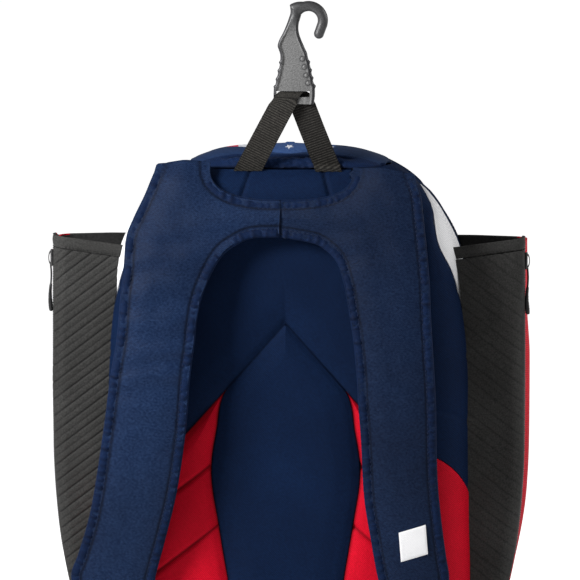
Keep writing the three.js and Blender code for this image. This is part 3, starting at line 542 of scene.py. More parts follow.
sleeve_cloth = trim_cloth("grooved_cloth", (0.025, 0.025, 0.024), (0.047, 0.046, 0.045), 0.0008, 0.65,
                          0.00012, 0.1)
black_tape = trim_cloth("black_tape", (0.008, 0.008, 0.008), (0.03, 0.03, 0.029), 0.0009, 0.7, 0.0002)
webbing_cloth = trim_cloth("webbing", (0.022, 0.021, 0.019), (0.066, 0.062, 0.055), 0.0007, 0.75,
                           0.0002, 0.1)
thread_navy = trim_cloth("navy_thread", (0.004, 0.008, 0.03), (0.012, 0.02, 0.06), 0.0006, 0.6, 0.0001)
thread_black = trim_cloth("black_thread", (0.01, 0.01, 0.01), (0.04, 0.04, 0.04), 0.0006, 0.6, 0.0001)
hook_plastic = trim_cloth("hook_plastic", (0.1, 0.1, 0.1), (0.19, 0.19, 0.19), 0.0007, 0.42, 0.0001, 0.5)
hook_rim = trim_cloth("hook_rim_plastic", (0.02, 0.02, 0.021), (0.04, 0.04, 0.041), 0.0009, 0.36,
                      0.00005, 0.5)
zip_black = trim_cloth("zip_black", (0.01, 0.01, 0.011), (0.035, 0.035, 0.036), 0.0006, 0.35, 0.00005)
lining_cloth = trim_cloth("lining_cloth", (0.009, 0.009, 0.009), (0.02, 0.02, 0.02), 0.0011, 0.8, 0.0002)
print("Finishes:", len(bpy.data.materials))

# %% [markdown]
# ## The back of the bag
# The wearer leans on padded panels. The upper pad ends in a chevron over a centre pad, with a
# quilted red pad on each side. Foam under the cloth makes each pad swell between its seams, so
# every grid is lifted in its middle and dips at its edges, then gets its thickness.

# %% Edges of the back panels
CENTER_PANEL_ROWS = [
    (0.0, 0.02), (0.185, 0.8), (0.3, 0.93), (0.42, 1.0), (0.57, 0.9), (0.77, 0.74), (1.0, 0.58),
]
APEX_WIDTH = CENTER_PANEL_ROWS[0][1]
CHEVRON_SHARE, CHEVRON_WIDTH = CENTER_PANEL_ROWS[1]
CHEVRON_SLOPE = CHEVRON_SHARE * (CHEVRON_APEX - CENTER_BOTTOM) / (CHEVRON_WIDTH * CENTER_HALF)


def center_half(z):
    """Half the centre pad's width at a height: straight along the chevron, then curved."""
    drop = (CHEVRON_APEX - z) / (CHEVRON_APEX - CENTER_BOTTOM)
    if drop < CHEVRON_SHARE:
        return mix(APEX_WIDTH, CHEVRON_WIDTH, drop / CHEVRON_SHARE) * CENTER_HALF
    return blend_rows(CENTER_PANEL_ROWS, drop)[0] * CENTER_HALF


def panel_half(z):
    """Half the back panels' width at a height, where they stop short of the body's corner."""
    half = body_section(z)[0]
    run = min(run_to_x(z, min(BACK_PANEL_HALF, half)), run_to_y(z, BACK_PANEL_REACH))
    return body_point(z, run).x - BODY_OFFSET


@lru_cache(maxsize=None)
def pad_top_at(x):
    low = -0.23
    high = TOP_SEAM - SEAM_GAP
    if panel_half(high) >= abs(x):
        return high
    for _ in range(20):
        middle = (low + high) / 2
        if panel_half(middle) >= abs(x):
            low = middle
        else:
            high = middle
    return low


def upper_pad_top(x):
    return pad_top_at(round(abs(x), 4))


print("Chevron slope:", round(CHEVRON_SLOPE, 3))

# %% [markdown]
# The upper pad is foam under mesh cloth, sewn round its edge and along two short slanting seams. The
# seams could be pushed in with a sculpting brush. Here the distance to each seam sets the depth, so
# that the dips follow the sewing exactly and can be moved with it.

# %% Upper pad
SLANT_SEAM_TOP = 0.036
SLANT_SEAM_SPREAD = 0.3
SLANT_SEAM_END = -0.212


def chevron_distance(x, z):
    return (z - CHEVRON_APEX + CHEVRON_SLOPE * x) / math.hypot(1, CHEVRON_SLOPE)


def slant_distance(x, z):
    """Distance from the short seam that slants down from under each leg of the hook webbing."""
    past_end = max(SLANT_SEAM_END - z, 0)
    return abs(x - SLANT_SEAM_TOP - SLANT_SEAM_SPREAD * (TOP_SEAM - z)) + past_end


def place_upper_pad(across, up):
    x = (across * 2 - 1) * (BACK_PANEL_HALF - SEAM_GAP)
    bottom = CHEVRON_APEX + SEAM_GAP - CHEVRON_SLOPE * abs(x)
    z = mix(bottom, upper_pad_top(x), up)
    return Vector((BODY_OFFSET + x, back_depth(x, z), z))


def upper_pad_relief(across, up, point):
    x = abs(point.x - BODY_OFFSET)
    chevron = chevron_distance(x, point.z)
    top = max(upper_pad_top(x) - point.z, 0)
    side = BACK_PANEL_HALF - x
    slant = slant_distance(x, point.z)
    swell = 0.003 * fade(min(chevron, top, side), 0, 0.03)
    creases = 0.0005 * ripple(point.x, point.z, 0.03, 2.0)
    return (swell + seam_dip(chevron, 0.0026, 0.005) + seam_dip(top, 0.002) + seam_dip(side, 0.003)
            + seam_dip(slant, 0.0022, 0.0022) + creases)


# Painted shade along the slanting seams, the chevron seam and the top edge, where the cloth dips.
def upper_pad_painted_shade(across, up, point):
    x = abs(point.x - BODY_OFFSET)
    chevron = chevron_distance(x, point.z)
    slant = slant_distance(x, point.z)
    top = max(upper_pad_top(x) - point.z, 0)
    return 0.5 * max(on_line(slant, 0.0012), on_line(chevron, 0.0016), on_line(top, 0.001))


upper_pad = lay_grid("upper_back_pad", 160, 150, place_upper_pad, upper_pad_relief, (0.276, 0.3),
                     upper_pad_painted_shade)
apply_modifier(upper_pad, "SOLIDIFY", thickness=BACK_PAD - 0.001, offset=-1)
dress(upper_pad, navy_mesh, "navy_mesh", "back_panel_upper", padded=0.5)

# %% [markdown]
# The centre pad is narrow at its chevron tip and widest a little below it. Its two edges are read
# from the table above at each height, and the rows of the grid are stretched between them.

# %% Centre pad
def place_center_pad(across, up):
    z = mix(TRAY_TOP + SEAM_GAP, CHEVRON_APEX - 0.001, up)
    x = (across * 2 - 1) * max(center_half(z) - SEAM_GAP, 0.0006)
    return Vector((BODY_OFFSET + x, back_depth(x, z), z))


def center_pad_relief(across, up, point):
    x = abs(point.x - BODY_OFFSET)
    edge = max(center_half(point.z) - x, 0)
    foot = point.z - TRAY_TOP
    swell = 0.0035 * fade(min(edge, foot), 0, 0.03)
    return (swell + seam_dip(edge, 0.002, 0.005) + seam_dip(foot, 0.003)
            + 0.0004 * ripple(point.x, point.z, 0.035, 5.0))


# Painted shade along the centre pad's edge seam, where the cloth dips.
def center_pad_painted_shade(across, up, point):
    edge = max(center_half(point.z) - abs(point.x - BODY_OFFSET), 0)
    return 0.55 * on_line(edge, 0.0016)


center_pad = lay_grid("center_back_pad", 60, 150, place_center_pad, center_pad_relief, (0.149, 0.319),
                      center_pad_painted_shade)
apply_modifier(center_pad, "SOLIDIFY", thickness=BACK_PAD - 0.001, offset=-1)
dress(center_pad, navy_mesh, "navy_mesh", "back_panel_center", padded=0.5)

# %% [markdown]
# Each red pad is quilted by parallel lines that fall away from the middle. The lines could be a
# bump in the finish, but they are as deep as the foam is soft, so they are pressed into the grid.
# The left pad is built by the same function with its columns reversed, which keeps its faces outward.

# %% Red side pads with their slanting quilt lines
QUILT_SPACING = 0.0665
QUILT_START = -0.3995
QUILT_SLOPE = 0.77
RED_PAD_TOP = CHEVRON_APEX - 0.0668


def quilt_distance(x, z):
    """Distance down to the nearest quilt line, which falls away from the middle."""
    level_here = (QUILT_START - z - QUILT_SLOPE * x) / QUILT_SPACING
    return abs(level_here - round(level_here)) * QUILT_SPACING / math.hypot(1, QUILT_SLOPE)


def red_pad_edges(z):
    inner = center_half(z) + SEAM_GAP
    outer = min(BACK_PANEL_HALF - SEAM_GAP, (CHEVRON_APEX - SEAM_GAP - z) / CHEVRON_SLOPE)
    return inner, max(outer, inner + 0.0004)


def make_red_pad(side, sign):
    def place(across, up):
        z = mix(TRAY_TOP + SEAM_GAP, RED_PAD_TOP, up)
        inner, outer = red_pad_edges(z)
        x = mix(inner, outer, across) if sign > 0 else mix(outer, inner, across)
        return Vector((BODY_OFFSET + sign * x, back_depth(x, z), z))

    def relief(across, up, point):
        x = abs(point.x - BODY_OFFSET)
        inner, outer = red_pad_edges(point.z)
        edge = max(min(x - inner, outer - x), 0)
        quilt = quilt_distance(x, point.z)
        swell = 0.003 * fade(edge, 0, 0.02) + 0.0015 * fade(quilt, 0, 0.025)
        return swell + seam_dip(edge, 0.003, 0.005) + seam_dip(quilt, 0.0022, 0.0024)

    # Painted shade along the red pad's edge seams and quilt lines, where the cloth dips.
    def dark(across, up, point):
        x = abs(point.x - BODY_OFFSET)
        inner, outer = red_pad_edges(point.z)
        edge = max(min(x - inner, outer - x), 0)
        return 0.75 * max(on_line(edge, 0.0015), on_line(quilt_distance(x, point.z), 0.0013))

    pad = lay_grid(f"red_back_pad_{side}", 60, 240, place, relief, (0.09, 0.25), dark)
    apply_modifier(pad, "SOLIDIFY", thickness=BACK_PAD - 0.001, offset=-1)
    dress(pad, red_cloth, "red_cloth", f"back_panel_red_{side}", padded=0.5)


make_red_pad("left", -1)
make_red_pad("right", 1)

# %% [markdown]
# ## The sides
# Beside the back pads the cloth turns round the corner to the main zip. A white crescent is set
# into each shoulder, and the foot is red. The crescent's two edges give the columns of the grids,
# so that neighbouring panels share their seam exactly.

# %% Edges of the side panels
CRESCENT_DROP = 0.41
WHITE_CRESCENT_NEAR = [
    (0.02, 0.455), (0.075, 0.45), (0.095, 0.32), (0.13, 0.17), (0.18, 0.105), (0.24, 0.15),
    (0.33, 0.24), (CRESCENT_DROP, 0.34),
]
WHITE_CRESCENT_FAR = [(0.02, 0.46), (0.25, 0.5), (0.38, 0.44), (CRESCENT_DROP, 0.34)]
CRESCENT_TIP = CREST - CRESCENT_DROP * BODY_HEIGHT
RED_TOP = CREST - 0.588 * BODY_HEIGHT
RED_TOP_FALL = 1.15


def side_near(z):
    half = body_section(z)[0]
    return min(run_to_x(z, min(BACK_PANEL_HALF, half)), run_to_y(z, BACK_PANEL_REACH)) + SEAM_GAP


def side_far(z):
    return run_to_y(z, ZIP_BACK - SEAM_GAP)


def crescent_run(z, table):
    drop = min((CREST - z) / BODY_HEIGHT, CRESCENT_DROP)
    return max(run_to_y(z, blend_rows(table, drop)[0] * BODY_DEPTH), side_near(z))


def red_side_top(y):
    return RED_TOP - RED_TOP_FALL * y


print("Crescent tip at", round(CRESCENT_TIP, 4))

# %% [markdown]
# Cutting one large panel along curved seams would leave ragged faces. It is cleaner to lay one grid
# between each pair of seams, because the edge of the grid is then the seam itself. The two navy
# parts of a side are joined and welded below the crescent's tip, where they are one cloth.

# %% Side panels, one grid between each pair of seams
def signed(side_sign, near, far, across):
    """Columns go counter-clockwise seen from above, so that faces point outwards."""
    return mix(near, far, across) if side_sign > 0 else -mix(far, near, across)


def side_relief(near_of, far_of, swell, seams=True):
    def relief(across, up, point):
        run = min(across, 1 - across) * abs(far_of(point.z) - near_of(point.z))
        lines = (point.z + 0.45 * point.y) / QUILT_SPACING
        quilt = abs(lines - round(lines)) * QUILT_SPACING
        dip = seam_dip(quilt, 0.0009, 0.003) if seams else 0
        return swell * fade(run, 0, 0.03) + seam_dip(run, 0.002, 0.005) + dip
    return relief


def make_side(side, sign):
    def navy_block(near_of, far_of):
        def place(across, up):
            guess = CRESCENT_TIP
            column = signed(sign, near_of(guess), far_of(guess), across)
            bottom = red_side_top(body_point(guess - 0.1, column).y) + SEAM_GAP
            if up < 0.5:
                z = mix(bottom, CRESCENT_TIP, up * 2)
            else:
                z = mix(CRESCENT_TIP, TOP_SEAM - SEAM_GAP, up * 2 - 1)
            return body_point(z, signed(sign, near_of(z), far_of(z), across))
        return place

    def near_edge(z):
        return crescent_run(z, WHITE_CRESCENT_NEAR) - (SEAM_GAP if z > CRESCENT_TIP else 0)

    def far_edge(z):
        return crescent_run(z, WHITE_CRESCENT_FAR) + (SEAM_GAP if z > CRESCENT_TIP else 0)

    back_part = lay_grid(f"navy_side_{side}", 36, 120, navy_block(side_near, near_edge),
                         side_relief(side_near, near_edge, 0.0015), (0.06, 0.33))
    front_part = lay_grid(f"navy_side_front_{side}", 36, 120, navy_block(far_edge, side_far),
                          side_relief(far_edge, side_far, 0.0015), (0.08, 0.33))
    navy = join_pieces(back_part, front_part)
    weld(navy, 0.0002)
    apply_modifier(navy, "SOLIDIFY", thickness=CLOTH_WALL, offset=-1)
    dress(navy, navy_mesh, "navy_mesh", f"side_panel_navy_{side}")

    def place_white(across, up):
        z = mix(CRESCENT_TIP + 0.002, TOP_SEAM - SEAM_GAP, up)
        near = crescent_run(z, WHITE_CRESCENT_NEAR)
        far = max(crescent_run(z, WHITE_CRESCENT_FAR), near + 0.0006)
        return body_point(z, signed(sign, near, far, across))

    def white_relief(across, up, point):
        near = crescent_run(point.z, WHITE_CRESCENT_NEAR)
        far = crescent_run(point.z, WHITE_CRESCENT_FAR)
        run = min(across, 1 - across) * (far - near)
        return 0.002 * fade(run, 0, 0.02) + seam_dip(run, 0.0015, 0.004)

    white = lay_grid(f"white_crescent_{side}", 36, 110, place_white, white_relief, (0.08, 0.19))
    apply_modifier(white, "SOLIDIFY", thickness=CLOTH_WALL, offset=-1)
    dress(white, white_cloth, "white_cloth", f"side_panel_white_{side}")

    def place_red(across, up):
        column = signed(sign, side_near(-0.55), side_far(-0.55), across)
        top = red_side_top(body_point(-0.5, column).y) - SEAM_GAP
        z = mix(TRAY_TOP + SEAM_GAP, top, up)
        return body_point(z, signed(sign, side_near(z), side_far(z), across))

    red = lay_grid(f"red_side_{side}", 60, 60, place_red,
                   side_relief(side_near, side_far, 0.002, False), (0.14, 0.14))
    apply_modifier(red, "SOLIDIFY", thickness=CLOTH_WALL, offset=-1)
    dress(red, red_cloth, "red_cloth", f"side_panel_red_{side}")


make_side("left", -1)
make_side("right", 1)

# %% [markdown]
# ## Crown, front and base
# Over the top run three strips of cloth: a wrinkled panel behind the webbing, a band printed with
# plain stars and a stripe, and a navy panel up to the main zip. The front panel, the zip and the
# tray at the foot are out of the camera's sight, but the bag is seen from all sides.

# %% The strips over the crown
def crown_strip(name, back_of, front_of, columns, rows, relief, lengths, dark=None):
    def place(across, up):
        half_back = half_at(back_of)
        half_front = half_at(front_of)
        x = (across * 2 - 1) * mix(half_back, half_front, up)
        y = mix(back_of(x), front_of(x), up)
        return Vector((BODY_OFFSET + x, y, max(crown_height(x, y), TOP_SEAM + SEAM_GAP)))

    return lay_grid(name, columns, rows, place, relief, lengths, dark)


def half_at(edge):
    y = edge(0)
    if y < 0.03:
        y = STAR_BAND_BACK
    return body_point(TOP_SEAM, run_to_y(TOP_SEAM, y)).x - BODY_OFFSET


def seam_behind(x):
    return back_depth(x, TOP_SEAM + SEAM_GAP) + 0.0004


def top_panel_relief(across, up, point):
    x = abs(point.x - BODY_OFFSET)
    middle = 1 - fade(x, 0.05, 0.07)
    roll = 0.003 * on_line(up - 0.33, 0.22) * middle
    gap = -0.005 * on_line(up - 0.74, 0.1) * middle
    creases = 0.0013 * ripple(point.x, point.y, 0.0045, 1.0) * middle * (1 - fade(up, 0.5, 0.62))
    return roll + gap + creases + seam_dip(up * 0.02, 0.0015, 0.003)


# Painted shadow in the dip between the wrinkled roll and the star band, and painted shade along the back
# seam.
def top_panel_painted_shade(across, up, point):
    x = abs(point.x - BODY_OFFSET)
    middle = 1 - fade(x, 0.05, 0.07)
    return max(0.9 * on_line(up - 0.76, 0.12) * middle, 0.7 * on_line(up, 0.07))


def strip_relief(across, up, point):
    edge = min(up, 1 - up) * 0.04
    return 0.0012 * fade(edge, 0, 0.015) + seam_dip(edge, 0.0012, 0.003)


top_strip = crown_strip("top_panel_cloth", seam_behind, lambda x: STAR_BAND_BACK - SEAM_GAP, 130, 30,
                        top_panel_relief, (0.19, 0.02), top_panel_painted_shade)
apply_modifier(top_strip, "SOLIDIFY", thickness=CLOTH_WALL, offset=-1)
dress(top_strip, navy_tape, "navy_twill", "top_panel")

crown = crown_strip("crown_cloth", lambda x: STAR_BAND_FRONT + SEAM_GAP, lambda x: ZIP_BACK - SEAM_GAP,
                    100, 24, strip_relief, (0.18, 0.04))
apply_modifier(crown, "SOLIDIFY", thickness=CLOTH_WALL, offset=-1)
dress(crown, navy_twill, "navy_twill", "crown_panel")

# %% [markdown]
# The star band is printed. A print can't be a picture here, so the pattern is built from nodes: a
# distance field of five points makes each star, and a step across the band makes the stripe.

# %% Star band
STAR_PITCH = 0.021
STAR_RADIUS = 0.0046
STAR_ROW = 0.0615
PRINT_LEFT = BODY_OFFSET - 0.064
PRINT_RIGHT = BODY_OFFSET + 0.046
RED_END = BODY_OFFSET - 0.052
WHITE_END = BODY_OFFSET - 0.042
PRINT_CURVE = 7.5
PRINT_INSET = 0.003


def choose(tree, where, inside, outside):
    node = tree.nodes.new("ShaderNodeMix")
    node.data_type = "RGBA"
    tree.links.new(where, node.inputs[0])
    tree.links.new(outside, node.inputs[6])
    tree.links.new(inside, node.inputs[7])
    return node.outputs[2]


def star_print():
    finish, tree, shader, place = new_finish("star_band_print", 0.6)
    split = tree.nodes.new("ShaderNodeSeparateXYZ")
    tree.links.new(place.outputs["Object"], split.inputs["Vector"])
    along = split.outputs["X"]
    shifted = combine(tree, "ADD", along, 20 * STAR_PITCH - BODY_OFFSET + STAR_PITCH / 2)
    off_x = combine(tree, "SUBTRACT", combine(tree, "MODULO", shifted, STAR_PITCH), STAR_PITCH / 2)
    off_y = combine(tree, "MULTIPLY", combine(tree, "SUBTRACT", STAR_ROW, split.outputs["Y"]), 0.6)
    angle = combine(tree, "ARCTAN2", off_x, off_y)
    lobe = combine(tree, "PINGPONG", combine(tree, "ADD", angle, 2 * math.pi), math.pi / 5)
    reach = combine(tree, "SQRT", combine(tree, "ADD", combine(tree, "MULTIPLY", off_x, off_x),
                                          combine(tree, "MULTIPLY", off_y, off_y)), 0.0)
    slant = combine(tree, "ADD", combine(tree, "MULTIPLY", combine(tree, "COSINE", lobe, 0.0), 0.45),
                    combine(tree, "SINE", lobe, 0.0))
    star = combine(tree, "LESS_THAN", combine(tree, "MULTIPLY", reach, slant), STAR_RADIUS * 0.45)
    speck = noise(tree, place, 500.0, 2.0)
    blue = tone(tree, speck, (0.3, (0.016, 0.045, 0.15)), (0.7, (0.04, 0.085, 0.21)))
    white = tone(tree, speck, (0.3, (0.5, 0.51, 0.56)), (0.7, (0.7, 0.71, 0.75)))
    red = tone(tree, speck, (0.3, (0.5, 0.02, 0.05)), (0.7, (0.68, 0.05, 0.09)))
    navy = tone(tree, speck, (0.3, (0.006, 0.017, 0.055)), (0.7, (0.012, 0.032, 0.09)))
    stars = choose(tree, star, white, blue)
    with_white = choose(tree, combine(tree, "LESS_THAN", along, WHITE_END), white, stars)
    with_red = choose(tree, combine(tree, "LESS_THAN", along, RED_END), red, with_white)
    off_middle = combine(tree, "SUBTRACT", along, BODY_OFFSET)
    squared = combine(tree, "MULTIPLY", off_middle, off_middle)
    curve = combine(tree, "MULTIPLY", squared, PRINT_CURVE)
    back_line = combine(tree, "ADD", curve, STAR_BAND_BACK + PRINT_INSET)
    printed = choose(tree, combine(tree, "LESS_THAN", split.outputs["Y"], back_line), navy, with_red)
    left_end = choose(tree, combine(tree, "LESS_THAN", along, PRINT_LEFT), navy, printed)
    both_ends = choose(tree, combine(tree, "GREATER_THAN", along, PRINT_RIGHT), navy, left_end)
    tree.links.new(both_ends, shader.inputs["Base Color"])
    lift(tree, shader, speck, 0.0002)
    return finish


star_band = crown_strip("star_band_cloth", lambda x: STAR_BAND_BACK + SEAM_GAP,
                        lambda x: STAR_BAND_FRONT - SEAM_GAP, 120, 40, strip_relief, (0.2, 0.056))
apply_modifier(star_band, "SOLIDIFY", thickness=CLOTH_WALL, offset=-1)
dress(star_band, star_print(), "white_cloth", "star_band")

# %% [markdown]
# The front is a plain domed panel, and the main zip is a narrow tape whose teeth are too many to
# model one by one. A wave along a dense grid raises them instead, at a few faces for each tooth.

# %% Front panel and main zip
FRONT_TOP = -0.1650


def place_front(across, up):
    z = mix(TRAY_TOP + SEAM_GAP, FRONT_TOP, up)
    flat, turn, side = outline_lengths(z)
    start = run_to_y(z, ZIP_FRONT + SEAM_GAP)
    end = 2 * flat + 2 * turn + side
    if across < 0.5:
        return body_point(z, mix(start, end, across * 2))
    return body_point(z, -mix(end, start, across * 2 - 1))


def front_relief(across, up, point):
    edge = min(across, 1 - across) * 0.5
    foot = min(point.z - TRAY_TOP, FRONT_TOP - point.z)
    return (0.002 * fade(min(edge, foot), 0, 0.05) + seam_dip(edge, 0.002) + seam_dip(foot, 0.002)
            + 0.0012 * ripple(point.x, point.z, 0.05, 3.0))


front = lay_grid("front_cloth", 130, 110, place_front, front_relief, (0.5, 0.47))
apply_modifier(front, "SOLIDIFY", thickness=CLOTH_WALL, offset=-1)
dress(front, navy_twill, "navy_twill", "front_panel")


ZIP_HUB = -0.45


def zip_point(y, angle):
    """Where a ray from the middle of the bag leaves the body, in the plane of the zip."""
    low = 0.0
    high = 0.4
    for _ in range(24):
        middle = (low + high) / 2
        if inside_body(middle * math.sin(angle), y, ZIP_HUB + middle * math.cos(angle)):
            low = middle
        else:
            high = middle
    return low * math.sin(angle), ZIP_HUB + low * math.cos(angle)


def place_zip(across, up):
    limit = math.pi / 2 + math.atan2(ZIP_HUB - TRAY_TOP, HALF_WIDTH)
    angle = mix(-limit, limit, across)
    y = mix(ZIP_BACK + 0.0003, ZIP_FRONT - 0.0003, up)
    x, z = zip_point(y, angle)
    return Vector((BODY_OFFSET + x, y, max(z, TRAY_TOP + 0.0003)))


def zip_relief(across, up, point):
    center = abs(up - 0.5)
    tooth = 0.5 + 0.5 * math.sin(across * 2 * math.pi * 380)
    return -0.0006 + (0.0009 * tooth if center < 0.2 else 0) + 0.0006 * fade(center, 0.3, 0.36)


main_zip = lay_grid("main_zip_tape", 1500, 10, place_zip, zip_relief, (1.3, 0.008))
apply_modifier(main_zip, "SOLIDIFY", thickness=CLOTH_WALL, offset=-1)
dress(main_zip, zip_black, "black_trim", "main_zip")

# %% [markdown]
# The tray at the foot is one grid that starts in the middle of the base and turns up at its rim, like
# a lid that is drawn from one sheet. Its seam and its middle are welded shut.

# %% Base tray
def tray_point(across, up):
    if up < 0.5:
        z = BASE
        shrink = mix(0.02, 1.0, up * 2)
    else:
        z = mix(BASE, TRAY_TOP - SEAM_GAP, up * 2 - 1)
        shrink = 1.0
    flat, turn, side = outline_lengths(z)
    total = 2 * flat + 2 * turn + side
    run = mix(-total, total, across)
    point = body_point(z, run)
    middle = Vector((BODY_OFFSET, BODY_DEPTH / 2, z))
    return middle + (point - middle) * shrink


tray = lay_grid("base_tray", 160, 24, tray_point, None, (1.1, 0.13))
weld(tray, 0.0001)
apply_modifier(tray, "SOLIDIFY", thickness=CLOTH_WALL, offset=-1)
dress(tray, navy_twill, "navy_twill", "bottom_panel")

# %% [markdown]
# ## Shoulder harness
# Two padded straps meet at a seam under the neck cutout. In plan each is a band between an inner
# and an outer edge, and seen from the side it lies on the shoulder and then stands off the back.
# The pad is a grid between the two edges, thickened so that it is fuller in its middle.

# %% Edges of the straps
HARNESS_TOP = -0.14775
HARNESS_DROP = 0.448
STRAP_THICKNESS = 0.014
BINDING_WIDTH = 0.0102
NECK_HALF = 0.072
NECK_DEPTH = 0.041
NECK_TOPS = {-1: 0.0065, 1: 0.012}
CENTER_SEAM_X = BODY_OFFSET - 0.025 * HALF_WIDTH

OUTER_LEFT = [
    (0.708, 0.021), (0.735, 0.047), (0.77, 0.083), (0.822, 0.128), (0.863, 0.172), (0.874, 0.237),
    (0.89, 0.304), (0.907, 0.395), (0.94, 0.475), (0.973, 0.578), (1.02, 0.705), (1.063, 0.797),
    (1.128, 0.886), (1.167, 0.933), (1.137, 0.973), (1.04, 0.996), (0.913, 1.0),
]
INNER_LEFT = [
    (0.913, 1.0), (0.79, 0.989), (0.716, 0.964), (0.702, 0.933), (0.642, 0.842), (0.587, 0.752),
    (0.549, 0.663), (0.522, 0.574), (0.505, 0.484), (0.478, 0.395), (0.467, 0.35), (0.445, 0.306),
    (0.404, 0.261), (0.333, 0.212), (0.257, 0.189), (0.175, 0.175), (0.025, 0.172),
]
OUTER_RIGHT = [
    (0.7, 0.037), (0.738, 0.073), (0.757, 0.125), (0.795, 0.259), (0.806, 0.348), (0.82, 0.4375),
    (0.833, 0.529), (0.842, 0.708), (0.861, 0.799), (0.888, 0.888), (0.904, 0.933), (0.891, 0.971),
    (0.825, 0.993), (0.716, 1.0),
]
INNER_RIGHT = [
    (0.716, 1.0), (0.601, 0.991), (0.536, 0.967), (0.511, 0.933), (0.473, 0.844), (0.44, 0.754),
    (0.423, 0.62), (0.407, 0.531), (0.402, 0.487), (0.38, 0.397), (0.363, 0.353), (0.344, 0.308),
    (0.32, 0.263), (0.281, 0.223), (0.195, 0.192), (0.125, 0.183), (-0.025, 0.173),
]
STRAP_PROFILE = [
    (-0.03, 0.26, 0), (0, 0.14, 0), (0.04, 0.055, 0), (0.083, 0.012, 0.02), (0.128, 0, 0.16),
    (0.172, 0, 0.34), (0.25, 0, 0.64), (0.385, 0, 0.9), (0.52, 0, 0.96), (0.65, 0, 0.88),
    (0.79, 0, 0.68), (0.92, 0, 0.48), (1.01, 0, 0.4),
]


def smooth_path(points, count):
    """Evenly spaced points on a smooth curve through the given ones."""
    keyed = []
    way = 0.0
    for i, point in enumerate(points):
        if i:
            way += (Vector(point) - Vector(points[i - 1])).length
        keyed.append((way, *point))
    return [Vector(blend_rows(keyed, way * i / (count - 1))) for i in range(count)]


def plan(sign, row):
    out, drop = row
    return (BODY_OFFSET + sign * out * HALF_WIDTH, HARNESS_TOP - drop * HARNESS_DROP)


def strap_back(z, stand):
    """The back face of a strap at a height, seen from the side."""
    seat, bulge = blend_rows(STRAP_PROFILE, (HARNESS_TOP - z) / HARNESS_DROP)
    return seat * BODY_DEPTH - bulge * stand


print("Strap points:", len(OUTER_LEFT), len(INNER_LEFT))

# %% [markdown]
# Pattern makers cut a strap from curves on paper. These are the same curves: the neck cutout, the
# outer edge and the inner edge, each a smooth path through a few measured points.

# %% Boundary curves of one harness half
def neck_curve(sign):
    """The neck cutout, from the centre seam up to the top edge, on a flattened ellipse."""
    points = []
    for step in range(11):
        angle = step / 10 * math.pi / 2
        points.append((CENTER_SEAM_X + sign * NECK_HALF * math.sin(angle) ** (2 / 2.6),
                       HARNESS_TOP - mix(NECK_TOPS[sign], NECK_DEPTH, math.cos(angle) ** (2 / 2.6))))
    points[0] = (CENTER_SEAM_X, HARNESS_TOP - NECK_DEPTH)
    return smooth_path(points, 121)


def harness_half(sign, outer_rows, inner_rows):
    neck = neck_curve(sign)
    outer = smooth_path([plan(sign, row) for row in outer_rows], 401)
    inner = smooth_path([plan(sign, row) for row in inner_rows], 401)
    inner[-1].x = CENTER_SEAM_X
    return neck, outer, list(reversed(inner))


def spread_along(path, share):
    place = share * (len(path) - 1)
    low = min(int(place), len(path) - 2)
    return path[low].lerp(path[low + 1], place - low)


halves = {
    "left": (-1, 0.042, harness_half(-1, OUTER_LEFT, INNER_LEFT)),
    "right": (1, 0.030, harness_half(1, OUTER_RIGHT, INNER_RIGHT)),
}
print("Neck points:", len(halves["left"][2][0]))

# %% [markdown]
# A grid between the curves becomes the pad. Solidify gives it its thickness, and a vertex group makes
# it thin where the tape is sewn on and full inside. A search tree gives the distance to the nearest
# edge quickly. A cloth simulation would also swell the pad, but it would move its outline.

# %% Padded straps
NECK_SHARE = 0.2
TOP_EDGE_SHARE = 0.29


def outer_boundary(neck, outer, share):
    """The strap's outer side: the neck cutout, the sewn top edge, then the outer edge."""
    if share < NECK_SHARE:
        return spread_along(neck, share / NECK_SHARE)
    if share < TOP_EDGE_SHARE:
        return neck[-1].lerp(outer[0], (share - NECK_SHARE) / (TOP_EDGE_SHARE - NECK_SHARE))
    return spread_along(outer, (share - TOP_EDGE_SHARE) / (1 - TOP_EDGE_SHARE))


MIDDLE_REACH = 0.002
# Painted shade over the whole right strap, darker than the left because the light falls from the left.
STRAP_PAINTED_SHADE = {-1: 0.0, 1: 0.28}


